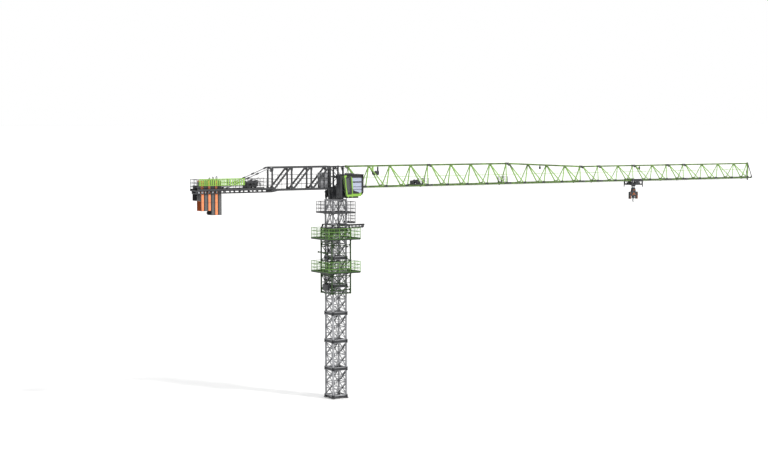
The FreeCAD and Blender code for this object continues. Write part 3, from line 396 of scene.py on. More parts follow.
class Builder:
    """Gathers one piece's mesh in full-size metres."""

    def __init__(self):
        self.points = []
        self.faces = []

    def add(self, points, faces):
        first = len(self.points)
        self.points += [tuple(point) for point in points]
        self.faces += [tuple(first + i for i in face) for face in faces]

    def box(self, low, high):
        corners = [(x, y, z) for x in (low[0], high[0]) for y in (low[1], high[1]) for z in (low[2], high[2])]
        self.add(corners, BOX_FACES)

    def block(self, centre, size):
        self.box([c - s / 2 for c, s in zip(centre, size)], [c + s / 2 for c, s in zip(centre, size)])

    def slab(self, outline, axis, start, end):
        """A plate whose outline lies across the axis (0, 1 or 2), from start to end along it."""
        count = len(outline)
        points = []
        for along in (start, end):
            for pair in outline:
                point = list(pair)
                point.insert(axis, along)
                points.append(point)
        sides = [(i, (i + 1) % count, count + (i + 1) % count, count + i) for i in range(count)]
        self.add(points, [tuple(range(count)), tuple(range(2 * count - 1, count - 1, -1))] + sides)

    def bar(self, a, b, width, depth=None):
        """A rectangular bar; width lies level, depth stands up."""
        a, b = Vector(a), Vector(b)
        side, up = across(b - a)
        side, up = side * width / 2, up * (depth or width) / 2
        corners = [end + i * side + j * up for end in (a, b) for i in SIDES for j in SIDES]
        self.add(corners, BOX_FACES)

    def angle(self, a, b, leg, thickness=0.008):
        """An angle section: one level and one upright flange."""
        a, b = Vector(a), Vector(b)
        side, up = across(b - a)
        self.bar(a + up * leg / 2, b + up * leg / 2, leg, thickness)
        self.bar(a + side * leg / 2, b + side * leg / 2, thickness, leg)

    def rod(self, a, b, radius, sides=8, caps=True):
        a, b = Vector(a), Vector(b)
        side, up = across(b - a)
        points = [end + side * c * radius + up * s * radius for end in (a, b) for c, s in around(sides)]
        self.add(points, tube_faces(2, sides, caps=caps))

    def sweep(self, path, radius, sides=8):
        """A round tube along a path; radius is one number or one for each point."""
        path = [Vector(p) for p in path]
        sizes = radius if isinstance(radius, list) else [radius] * len(path)
        points = []
        side = None
        for index, place in enumerate(path):
            ahead = path[min(index + 1, len(path) - 1)]
            behind = path[max(index - 1, 0)]
            along = (ahead - behind).normalized()
            side = across(along)[0] if side is None else (side - along * side.dot(along)).normalized()
            up = along.cross(side)
            points += [place + (side * c + up * s) * sizes[index] for c, s in around(sides)]
        self.add(points, tube_faces(len(path), sides))

    def lathe(self, centre, axis, profile, sides=20, hollow=False):
        """A turned shape: profile is (distance along the axis, radius); a hollow one closes on itself."""
        centre, axis = Vector(centre), Vector(axis).normalized()
        side, up = across(axis)
        points = []
        for along, radius in profile:
            points += [centre + axis * along + (side * c + up * s) * radius for c, s in around(sides)]
        self.add(points, tube_faces(len(profile), sides, closed=hollow, caps=not hollow))

    def pad(self, foot, head, out, width, depth):
        """An upright plate on a wall that faces out: width lies along the wall, depth stands out of it."""
        self.bar(foot, head, width if out.y else depth, width if out.x else depth)

    def bolt(self, place, axis, radius, height=None):
        """A washer and a hexagon head that stand on place."""
        place, axis = Vector(place), Vector(axis).normalized()
        top = height or radius * 1.2
        self.rod(place, place + axis * radius * 0.2, radius * 1.25, 10)
        self.rod(place + axis * radius * 0.2, place + axis * top, radius, 6)

    def mesh_panel(self, corner, along, up, step, wire=0.004):
        """Wires woven at a pitch of step over the rectangle that along and up span."""
        corner, along, up = Vector(corner), Vector(along), Vector(up)
        columns, rows = round(along.length / step), round(up.length / step)
        for i in range(1, columns):
            foot = corner + along * i / columns
            self.rod(foot, foot + up, wire, 3, caps=False)
        for i in range(1, rows):
            start = corner + up * i / rows
            self.rod(start, start + along, wire, 3, caps=False)

    def make(self, name, body, finish, bevel=0.0):
        """Turn the gathered mesh into a piece that rides on a body."""
        mesh = bpy.data.meshes.new(name)
        mesh.from_pydata([[c * SCALE for c in point] for point in self.points], [], self.faces)
        work = bmesh.new()
        work.from_mesh(mesh)
        bmesh.ops.recalc_face_normals(work, faces=work.faces)
        if bevel:
            sharp = [e for e in work.edges if len(e.link_faces) == 2 and e.calc_face_angle() > BEVEL_FROM]
            bmesh.ops.bevel(work, geom=sharp, offset=bevel * SCALE, segments=1, affect="EDGES")
        work.to_mesh(mesh)
        work.free()
        mesh.shade_smooth()
        mesh.set_sharp_from_angle(angle=SHARP_FROM)
        mesh.materials.append(FINISH[finish])
        piece = bpy.data.objects.new(name, mesh)
        bpy.context.scene.collection.objects.link(piece)
        if body:
            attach(piece, body)
        return piece


def builders(count):
    return [Builder() for _ in range(count)]


def around(count, shift=0):
    """Cosine and sine of evenly spaced turns; shift is a share of one step."""
    turns = [2 * math.pi * (i + shift) / count for i in range(count)]
    return [(math.cos(turn), math.sin(turn)) for turn in turns]


def tube_faces(rings, sides, closed=False, caps=True):
    """Faces between rings of points; a closed run joins its last ring to its first."""
    faces = []
    for ring in range(rings if closed else rings - 1):
        here, after = ring * sides, (ring + 1) % rings * sides
        for i in range(sides):
            j = (i + 1) % sides
            faces.append((here + i, here + j, after + j, after + i))
    if caps:
        last = (rings - 1) * sides
        faces += [tuple(range(sides)), tuple(range(last + sides - 1, last - 1, -1))]
    return faces


def across(along):
    """Two unit vectors square to a direction: one level, one as upright as can be."""
    along = Vector(along).normalized()
    up = Vector(ALONG_Z) if abs(along.z) < 0.99 else Vector(ALONG_X)
    side = up.cross(along).normalized()
    return side, along.cross(side)


def lift(height):
    return Vector((0, 0, height))


def facing(side, inner, outer):
    """Lower and higher end of a span on one side of the centre line, where side is -1 or 1."""
    return sorted((side * inner, side * outer))


def corners_of(half):
    return [(x, y) for x in (-half, half) for y in (-half, half)]


def sides_of(half):
    """The four sides of a square as pairs of corners, in turn."""
    loop = [(-half, -half), (half, -half), (half, half), (-half, half)]
    return [(loop[i], loop[(i + 1) % 4]) for i in range(4)]


def outward(a, b):
    """The level unit vector that points out of the side from a to b."""
    return Vector((b[1] - a[1], a[0] - b[0], 0)).normalized()


def arc(centre, radius, start, end, steps):
    """Points along an upright arc that faces y, angles in degrees."""
    x, y, z = centre
    turns = [math.radians(start + (end - start) * i / steps) for i in range(steps + 1)]
    return [(x + radius * math.cos(turn), y, z + radius * math.sin(turn)) for turn in turns]


# ---- mast ------------------------------------------------------------------
MAST_HALF = 0.75
LEG_FACE = 0.825
BASE_HEIGHT = 0.2
SECTION_HEIGHT = 2.8
SECTION_COUNT = 6
JOINTS = [BASE_HEIGHT + SECTION_HEIGHT * k for k in range(SECTION_COUNT + 1)]
BAND_HALF = 0.108
BAND_HEIGHT = 0.34
HATCH = ((-0.3, -0.06), (0.3, 0.59))


def build_mast_bands():
    """Sleeves round each leg joint, painted dark as the shade at the joints, with the tie studs beside them.
    """
    bands, studs = builders(2)
    for z in JOINTS:
        low = max(z - BAND_HEIGHT / 2, 0.045)
        for x, y in corners_of(MAST_HALF):
            # Real sleeves round the legs; their dark finish is painted shade at the joint.
            bands.box((x - BAND_HALF, y - BAND_HALF, low),
                      (x + BAND_HALF, y + BAND_HALF, z + BAND_HEIGHT / 2))
            for edge in (low, z - 0.012, z + BAND_HEIGHT / 2 - 0.024):
                reach = BAND_HALF + 0.01
                bands.box((x - reach, y - reach, edge), (x + reach, y + reach, edge + 0.024))
            for dx, dy in ((0.14, 0), (-0.14, 0), (0, 0.14), (0, -0.14)):
                foot = max(z - 0.2, 0.05)
                place = Vector((x + dx, y + dy, foot))
                bands.rod(place + lift(0.04), (x + dx, y + dy, z + 0.14), 0.04, 8)
                studs.rod(place, (x + dx, y + dy, z + 0.2), 0.02, 8)
                studs.bolt((x + dx, y + dy, z + 0.14), ALONG_Z, 0.034)
    bands.make("mast_joint_shade_bands", "mast", "dark_steel", 0.006)
    studs.make("mast_joint_studs", "mast", "bolt_steel")


def build_mast_lacing():
    """The second run of bent braces, struts at mid height and thin ties between them."""
    lacing, plates, mains = builders(3)
    for z0 in JOINTS[:-1]:
        z1 = z0 + SECTION_HEIGHT
        low, middle, high = z0 + 0.12, (z0 + z1) / 2, z1 - 0.12
        for a, b in sides_of(MAST_HALF):
            lacing.angle((*b, low + 0.06), (*a, middle), 0.075, 0.012)
            lacing.angle((*a, middle), (*b, high - 0.06), 0.075, 0.012)
            lacing.angle((*a, middle), (*b, middle), 0.07, 0.012)
            centre = [(a[i] + b[i]) / 2 for i in (0, 1)]
            for z in ((low + middle) / 2, (middle + high) / 2):
                for end in (a, b):
                    lacing.angle((*end, z), (*centre, z), 0.05, 0.01)
            out = outward(a, b)
            along = Vector((b[0] - a[0], b[1] - a[1], 0)).normalized()
            for end, way in ((a, 1), (b, -1)):
                for z in (low + 0.1, middle, high - 0.1):
                    spot = Vector((*end, z)) + out * 0.046 + along * way * 0.13
                    foot, head = spot - lift(0.15), spot + lift(0.15)
                    plates.pad(foot, head, out, 0.16, 0.014)
                    for dz in (-0.1, 0, 0.1):
                        plates.bolt(spot + lift(dz) + out * 0.007, out, 0.014)
        for x in (-MAST_HALF, MAST_HALF):
            lacing.angle((x, -MAST_HALF, high), (-x, MAST_HALF, high), 0.06, 0.01)
            mains.angle((x, -MAST_HALF, middle - 0.15), (x, MAST_HALF, low), 0.09, 0.014)
            mains.angle((MAST_HALF, x, high - 0.1), (0.1, x, middle + 0.35), 0.09, 0.014)
    mains.make("mast_main_braces", "mast", "frame_steel")
    lacing.make("mast_lacing", "mast", "mast_steel")
    plates.make("mast_gussets", "mast", "mast_steel")


def build_landings():
    """Open grating, dark bands of painted shade over the joint frames, and a hatch rail on each rest
    platform.
    """
    grating, rails = builders(2)
    (x0, y0), (x1, y1) = HATCH
    for z in JOINTS[1:]:
        top = z - 0.03
        for step in range(31):
            y = -0.74 + step * 0.05
            spans = [(-0.63, x0), (x1, 0.63)] if y0 < y < y1 else [(-0.63, 0.63)]
            for a, b in spans:
                grating.box((a, y - 0.004, top), (b, y + 0.004, top + 0.025))
        for x in (-0.6, -0.45, 0.45, 0.6):
            grating.box((x - 0.006, -0.74, top), (x + 0.006, 0.74, top + 0.03))
        # Dark bands across each mast face over the joint frames: painted shade.
        for side in SIDES:
            near, far = facing(side, 0.815, 0.827)
            grating.box((-0.645, near, z - 0.14), (0.645, far, z + 0.11))
            grating.box((near, -0.645, z - 0.14), (far, 0.645, z + 0.11))
        rails.bar((0.2, 0.3, top + 0.1), (0.6, 0.3, top + 0.42), 0.12, 0.03)
        for x in (x0 - 0.03, x1 + 0.03):
            rails.sweep([(x, y0, top), (x, y0, top + 0.85), (x, y0 + 0.06, top + 0.9),
                         (x, y1 - 0.06, top + 0.9), (x, y1, top + 0.85), (x, y1, top)], 0.017, 6)
            rails.rod((x, y0, top + 0.45), (x, y1, top + 0.45), 0.013, 6)
    grating.make("landing_gratings", "mast", "dark_steel")
    rails.make("hatch_rails", "mast", "panel_grey")


def build_base():
    """Anchor bolts with nuts, and the gussets that stiffen each foot."""
    bolts, gussets = builders(2)
    for x, y in corners_of(MAST_HALF):
        for dx, dy in corners_of(0.115):
            place = (x + dx, y + dy, 0.04)
            bolts.bolt(place, ALONG_Z, 0.036, 0.05)
            bolts.rod(place, (x + dx, y + dy, 0.15), 0.02, 10)
            bolts.bolt((x + dx, y + dy, 0.09), ALONG_Z, 0.034, 0.03)
        for side in SIDES:
            for offset in (-0.055, 0.055):
                near, far = (0.1, 0.04), (0.165, 0.04)
                outline = [near, far, (0.165, 0.06), (0.1, 0.19)]
                gussets.slab([(x + side * p, z) for p, z in outline], 1, y + offset - 0.007,
                             y + offset + 0.007)
                gussets.slab([(y + side * p, z) for p, z in outline], 0, x + offset - 0.007,
                             x + offset + 0.007)
    for x, y in corners_of(0.2):
        bolts.bolt((x, y, 0.04), ALONG_Z, 0.03)
    for dx, dy in ((1, 0), (-1, 0), (0, 1), (0, -1)):
        a = Vector((dx * 0.5, dy * 0.5, 0.12))
        gussets.bar(a, a + Vector((dx * 0.2, dy * 0.2, 0)), 0.16, 0.02)
    bolts.make("anchor_bolts", "mast", "bolt_steel")
    gussets.make("base_gussets", "mast", "frame_steel")


# ---- platforms -------------------------------------------------------------
SLEWING_DECK = 18.78
CAGE_DECKS = (12.83, 16.17)
MESH_PITCH = 0.12
BASKET_REAR, BASKET_FRONT = 0.87, 1.45
BASKET_NEAR, BASKET_FAR = -1.43, -0.11
BASKET_HEIGHT = 0.95


def dress_platform(name, half, inner, top, height, board, finishes, pitch):
    """Bearing bars on the walkway, toe boards and woven mesh in the railing of a square platform."""
    grating, screen, boards = builders(3)
    grating_finish, mesh_finish, board_finish = finishes
    edge = half - 0.06
    step = 0.09
    for i in range(int(2 * edge / step) + 1):
        y = -edge + i * step
        spans = [(-edge, -inner), (inner, edge)] if abs(y) < inner else [(-edge, edge)]
        for a, b in spans:
            grating.box((a, y - 0.005, top), (b, y + 0.005, top + 0.022))
    for x in (-edge + 0.1, edge - 0.1):
        grating.box((x - 0.006, -edge, top), (x + 0.006, edge, top + 0.026))
    line = half - 0.04
    for a, b in sides_of(line):
        along = Vector((b[0] - a[0], b[1] - a[1], 0))
        out = outward(a, b)
        screen.mesh_panel(Vector((*a, top + board)), along, (0, 0, height - board - 0.03), pitch)
        foot = Vector((*a, top + board / 2)) + out * 0.012
        boards.bar(foot, foot + along, 0.012, board)
        for share in (1 / 6, 1 / 2, 5 / 6):
            post = Vector((*a, top)) + along * share
            screen.rod(post, post + lift(height - 0.03), 0.014, 6)
        for share in (0.02, 1 / 3, 2 / 3, 0.98):
            boards.bolt(foot + along * share + out * 0.006, out, 0.015)
    grating.make(name + "_grating", "mast", grating_finish)
    screen.make(name + "_mesh", "mast", mesh_finish)
    boards.make(name + "_toe_boards", "mast", board_finish)


def build_platforms():
    """Dress the three platforms, prop them, and fill in the small hanging one."""
    dress_platform("slewing_platform", 1.48, LEG_FACE, SLEWING_DECK, 1.08, 0.05,
                   ("dark_steel", "mast_steel", "frame_steel"), MESH_PITCH)
    for name, top in zip(("lower_cage_platform", "upper_cage_platform"), CAGE_DECKS):
        dress_platform(name, 1.85, 1.135, top, 1.05, 0.07,
                       ("cage_green", "rail_green", "cage_trim"), MESH_PITCH)
    knees = Builder()
    for x, y in corners_of(MAST_HALF):
        sx, sy = math.copysign(1, x), math.copysign(1, y)
        if sx < 0 or sy > 0:
            knees.angle((sx * LEG_FACE, y, 18.5), (sx * 1.05, y, 18.7), 0.06, 0.01)
        knees.angle((x, sy * LEG_FACE, 18.5), (x, sy * 1.05, 18.7), 0.06, 0.01)
    for side in SIDES:
        knees.angle((-1.42, side * 1.42, 18.69), (1.42, side * 1.42, 18.69), 0.05, 0.01)
        knees.angle((side * 1.42, -1.42, 18.69), (side * 1.42, 1.42, 18.69), 0.05, 0.01)
    knees.make("slewing_platform_knees", "mast", "frame_steel")
    props = Builder()
    for top in CAGE_DECKS:
        for x, y in corners_of(1.075):
            sx, sy = math.copysign(1, x), math.copysign(1, y)
            props.angle((x, y, top - 0.3), (sx * 1.3, y, top - 0.08), 0.07, 0.012)
            props.angle((x, y, top - 0.3), (x, sy * 1.3, top - 0.08), 0.07, 0.012)
            props.angle((x, y, top - 0.08), (sx * 1.8, sy * 1.8, top - 0.08), 0.07, 0.012)
        for side in SIDES:
            props.angle((-1.8, side * 1.8, top - 0.1), (1.8, side * 1.8, top - 0.1), 0.06, 0.012)
            props.angle((side * 1.8, -1.8, top - 0.1), (side * 1.8, 1.8, top - 0.1), 0.06, 0.012)
    props.make("cage_platform_props", "mast", "dark_steel")
    basket = Builder()
    for z in (17.76, 17.8):
        basket.box((BASKET_REAR, BASKET_NEAR, z), (BASKET_FRONT, -1.41, z + 0.05))
        basket.box((1.43, BASKET_NEAR, z), (BASKET_FRONT, BASKET_FAR, z + 0.05))
        basket.box((BASKET_REAR, -0.13, z), (BASKET_FRONT, BASKET_FAR, z + 0.05))
    basket.mesh_panel((1.44, -1.42, 17.74), (0, 1.3, 0), (0, 0, BASKET_HEIGHT), MESH_PITCH)
    for y in (-1.42, -0.12):
        basket.mesh_panel((0.88, y, 17.74), (0.56, 0, 0), (0, 0, BASKET_HEIGHT), MESH_PITCH)
    for i in range(12):
        y = -1.38 + i * 0.11
        basket.box((0.88, y - 0.005, 17.72), (1.44, y + 0.005, 17.745))
    basket.make("hanging_platform_mesh", "mast", "frame_steel")


# ---- climbing frame --------------------------------------------------------
CAGE_HALF = 1.075
CAGE_LOW = 10.6
CAGE_TOP = 17.2
CAGE_LEVELS = (11.0, 12.4, 13.9, 15.5, 16.7)
ROLLER_LEVELS = (11.3, 12.6, 15.3, 16.95)


def build_cage():
    """Counter braces, corner plates, rollers on the mast legs, the top guide and extra beams."""
    lacing, plates, rollers = builders(3)
    faces = sides_of(CAGE_HALF)
    for index in (0, 2, 3):
        a, b = faces[index]
        for z0, z1 in zip(CAGE_LEVELS, CAGE_LEVELS[1:]):
            start, end = (b, a) if CAGE_LEVELS.index(z0) % 2 == 0 else (a, b)
            lacing.bar((*start, z0), (*end, z1), 0.05)
        centre = [(a[i] + b[i]) / 2 for i in (0, 1)]
        for z0, z1 in ((CAGE_LOW + 0.04, 11.0), (16.7, CAGE_TOP - 0.04)):
            lacing.bar((*a, z0), (*centre, z1), 0.05)
            lacing.bar((*centre, z1), (*b, z0), 0.05)
        for z in (11.7, 13.15, 14.7, 16.1):
            lacing.bar((*a, z), (*b, z), 0.05)
    for index, (a, b) in enumerate(faces):
        out = outward(a, b)
        along = Vector((b[0] - a[0], b[1] - a[1], 0)).normalized()
        for end, way in ((a, 1), (b, -1)):
            for z in CAGE_LEVELS + (CAGE_LOW + 0.1, CAGE_TOP - 0.1):
                if index == 1 and z in CAGE_LEVELS:
                    continue
                spot = Vector((*end, z)) + out * 0.045 + along * way * 0.12
                foot, head = spot - lift(0.09), spot + lift(0.09)
                plates.pad(foot, head, out, 0.2, 0.014)
                plates.bolt(spot + out * 0.007, out, 0.018)
    for x, y in corners_of(MAST_HALF):
        sx, sy = math.copysign(1, x), math.copysign(1, y)
        for z in ROLLER_LEVELS:
            near = LEG_FACE + 0.075
            rollers.lathe((sx * near, y - 0.06, z), ALONG_Y,
                          [(0, 0.05), (0, 0.07), (0.12, 0.07), (0.12, 0.05)], 16)
            rollers.lathe((x - 0.06, sy * near, z), ALONG_X,
                          [(0, 0.05), (0, 0.07), (0.12, 0.07), (0.12, 0.05)], 16)
            for dz in (-0.04, 0.04):
                plates.bar((sx * near, y, z + dz), (sx * CAGE_HALF, sy * CAGE_HALF, z + dz), 0.05, 0.02)
                plates.bar((x, sy * near, z + dz), (sx * CAGE_HALF, sy * CAGE_HALF, z + dz), 0.05, 0.02)
    for x, y in corners_of(CAGE_HALF):
        for z in (CAGE_LOW, CAGE_TOP - 0.012):
            plates.block((x, y, z + 0.006), (0.18, 0.18, 0.012))
    guide = Builder()
    for x, y in corners_of(1):
        guide.bar((x * 1.05, y * 1.05, 17.15), (x * 0.94, y * 0.94, 17.5), 0.14)
        guide.block((x * 0.94, y * 0.94, 17.52), (0.2, 0.2, 0.1))
    for a, b in sides_of(0.94):
        guide.bar((*a, 17.53), (*b, 17.53), 0.08, 0.1)
    guide.make("cage_guide_frame", "mast", "dark_steel")
    guide = Builder()
    for z in (15.75, 15.98, 16.45, 16.85, 17.12):
        guide.bar((-CAGE_HALF - 0.01, -1, z), (-CAGE_HALF - 0.01, 1, z), 0.06, 0.12)
        guide.bar((-1, CAGE_HALF, z), (1, CAGE_HALF, z), 0.06, 0.12)
    for z in (12.5, 12.72, 13.2, 13.6):
        guide.bar((-CAGE_HALF - 0.01, -1, z), (-CAGE_HALF - 0.01, 1, z), 0.06, 0.1)
    guide.bar((-CAGE_HALF - 0.07, 0.1, 14.7), (-CAGE_HALF - 0.07, 1.52, 14.7), 0.1, 0.12)
    guide.block((-CAGE_HALF - 0.07, 1.54, 14.7), (0.14, 0.06, 0.18))
    guide.block((-CAGE_HALF - 0.05, 1.3, 13.66), (0.1, 0.34, 0.14))
    guide.make("cage_extra_beams", "mast", "cage_green")
    lacing.make("cage_lacing", "mast", "cage_green")
    plates.make("cage_plates", "mast", "cage_green")
    rollers.make("cage_rollers", "mast", "rubber")


def build_jacking_gear():
    """Seals, end caps and pipes of the hydraulic cylinder, and the fittings of its pump."""
    gear, bright = builders(2)
    x = -LEG_FACE - 0.098
    for z, height in ((13.0, 0.09), (13.5, 0.03), (14.9, 0.03), (15.3, 0.1)):
        gear.lathe((x, 0, z), ALONG_Z, [(0, 0.08), (0.01, 0.095), (height - 0.01, 0.095), (height, 0.08)], 20)
    bright.lathe((x, 0, 12.0), ALONG_Z, [(0, 0.07), (0.1, 0.07), (0.13, 0.05), (1.0, 0.05)], 20)
    for y in (-0.11, 0.11):
        gear.lathe((x, y, 12.06), ALONG_Y, [(0, 0.06), (0.03, 0.06)], 14)
    tank_face = -(CAGE_HALF + 0.04)
    low = 10.96
    for i in range(7):
        z = low + 0.09 + i * 0.07
        gear.box((tank_face - 0.258, -0.72, z), (tank_face - 0.25, -0.3, z + 0.012))
    gear.lathe((tank_face - 0.125, -0.52, low + 0.67), ALONG_Y,
               [(0, 0.05), (0.02, 0.085), (0.5, 0.085), (0.54, 0.05)])
    for i in range(9):
        y = -0.46 + i * 0.045
        gear.lathe((tank_face - 0.125, y, low + 0.67), ALONG_Y, [(0, 0.1), (0.012, 0.1)])
    bright.lathe((tank_face - 0.18, 0.2, low + 0.6), ALONG_Z,
                 [(0, 0.04), (0.05, 0.04), (0.06, 0.03), (0.1, 0.03)])
    bright.lathe((tank_face - 0.26, 0.1, low + 0.45), (-1, 0, 0), [(0, 0.05), (0.02, 0.05), (0.025, 0.04)])
    for y in (0.12, 0.2):
        gear.sweep([(tank_face - 0.1, y, low + 0.6), (tank_face - 0.1, y, low + 1.5),
                    (tank_face - 0.06, y, low + 1.6), (x + 0.02, y, low + 1.9), (x, y, low + 2.0),
                    (x, y * 0.6, 13.05 + y)], 0.018, 6)
    gear.make("jacking_fittings", "mast", "rubber")
    bright.make("jacking_rod", "mast", "bolt_steel")


CHAIN_X = 3.16
MONORAIL_WHEEL_Z = 17.385


def build_monorail():
    """Web stiffeners, an end stop, and the chain hoist with its wheels, chain and hook."""
    fittings = Builder()
    for i in range(7):
        x = 1.0 + i * 0.32
        for side in SIDES:
            near, far = facing(side, 0.012, 0.056)
            fittings.box((x - 0.005, near, 17.36), (x + 0.005, far, 17.47))
    fittings.box((3.3, -0.06, 17.34), (3.33, 0.06, 17.49))
    for x in (3.1, 3.2):
        for side in SIDES:
            fittings.lathe((x, side * 0.02, MONORAIL_WHEEL_Z), (0, side, 0), [(0, 0.025), (0.03, 0.022)], 12)
    fittings.lathe((CHAIN_X, -0.07, 17.19), ALONG_Y,
                   [(0, 0.05), (0.02, 0.085), (0.12, 0.085), (0.14, 0.05)], 16)
    for i in range(6):
        fittings.lathe((CHAIN_X, 0, 17.1 - i * 0.05), (0, 1 - i % 2, i % 2),
                       [(-0.006, 0.012), (-0.006, 0.024), (0.006, 0.024), (0.006, 0.012)], 10, hollow=True)
    fittings.sweep(arc((CHAIN_X, 0, 16.78), 0.035, 100, 380, 10), 0.011, 6)
    for side in SIDES:
        near, far = facing(side, 0.07, 0.085)
        fittings.box((1.85, near, 17.1), (3.12, far, 17.24))
        for x in (1.9, 2.35, 2.75, 3.05):
            fittings.box((x - 0.03, near, 17.24), (x + 0.03, far, 17.42))
            fittings.lathe((x, side * 0.022, MONORAIL_WHEEL_Z), (0, side, 0),
                           [(0, 0.025), (0.045, 0.022)], 12)
    for y in (-0.7, 0.7):
        for z in (17.37, 17.46):
            fittings.bolt((LEG_FACE + 0.11, y, z), ALONG_X, 0.018)
    fittings.make("monorail_fittings", "mast", "dark_steel")


# ---- slewing ring ----------------------------------------------------------
GEAR_TEETH = 84
SLEW_MOTOR_X = -0.905


def build_slewing_ring():
    """Gear teeth on the fixed ring, bolt circles, and stiffeners round the head plate."""
    teeth, bolts, ribs = builders(3)
    for c, s in around(GEAR_TEETH):
        out = Vector((c, s, 0))
        side = Vector((-s, c, 0)) * 0.011
        points = []
        for z in (20.1, 20.165):
            for reach, width in ((0.752, 1.3), (0.79, 0.55)):
                points += [out * reach - side * width + lift(z), out * reach + side * width + lift(z)]
        teeth.add(points, BOX_FACES)
    for c, s in around(40, 0.5):
        spot = Vector((c, s, 0)) * 0.68
        bolts.bolt(spot + lift(19.98), (0, 0, -1), 0.02)
    for c, s in around(24):
        out = Vector((c, s, 0))
        ribs.bar(out * 0.62 + lift(19.9), out * 0.76 + lift(19.94), 0.012, 0.08)
    for a, b in sides_of(LEG_FACE):
        out = outward(a, b)
        for share in (0.2, 0.4, 0.6, 0.8):
            spot = Vector((*a, 19.88)).lerp(Vector((*b, 19.88)), share) - out * 0.06
            ribs.pad(spot, spot + lift(0.1), out, 0.012, 0.12)
    teeth.make("slewing_gear_teeth", "mast", "bolt_steel")
    bolts.make("slewing_ring_bolts", "mast", "bolt_steel")
    ribs.make("mast_head_ribs", "mast", "mast_steel")
    upper, motors, studs = builders(3)
    for c, s in around(40):
        studs.bolt(Vector((c, s, 0)) * 0.765 + lift(20.24), (c, s, 0), 0.014, 0.012)
    for a, b in sides_of(0.78):
        out = outward(a, b)
        for i in range(9):
            spot = Vector((*a, 20.3)).lerp(Vector((*b, 20.3)), (i + 0.5) / 9) + out * 0.02
            upper.pad(spot, spot + lift(0.38), out, 0.014, 0.04)
        rim = Vector((*a, 20.685)) + out * 0.015
        upper.bar(rim, Vector((*b, 20.685)) + out * 0.015, 0.05, 0.03)
    for y in (-0.36, 0.36):
        centre = (SLEW_MOTOR_X, y, 0)
        profile = [(20.1, 0.03), (20.1, 0.09), (20.165, 0.09), (20.165, 0.05), (20.2, 0.05), (20.2, 0.12),
                   (20.4, 0.12), (20.4, 0.15), (20.43, 0.15), (20.43, 0.11), (20.6, 0.13), (20.6, 0.1),
                   (20.95, 0.1), (21.0, 0.06)]
        motors.lathe(centre, ALONG_Z, profile, 24)
        for i in range(9):
            motors.lathe((SLEW_MOTOR_X, y, 20.64 + i * 0.032), ALONG_Z, [(0, 0.118), (0.01, 0.118)], 20)
        motors.block((-1.02, y, 20.8), (0.08, 0.12, 0.12))
        for c, s in around(8):
            studs.bolt((SLEW_MOTOR_X + 0.135 * c, y + 0.135 * s, 20.43), ALONG_Z, 0.01)
    upper.make("turntable_ribs", "upper_works", "dark_steel")
    motors.make("slewing_gearmotors", "upper_works", "dark_steel")
    studs.make("turntable_bolts", "upper_works", "bolt_steel")


# ---- turret ----------------------------------------------------------------
TURRET_X = 0.55
TURRET_Y = 0.5
TURRET_LOW = 20.7
LADDER_X = -0.42


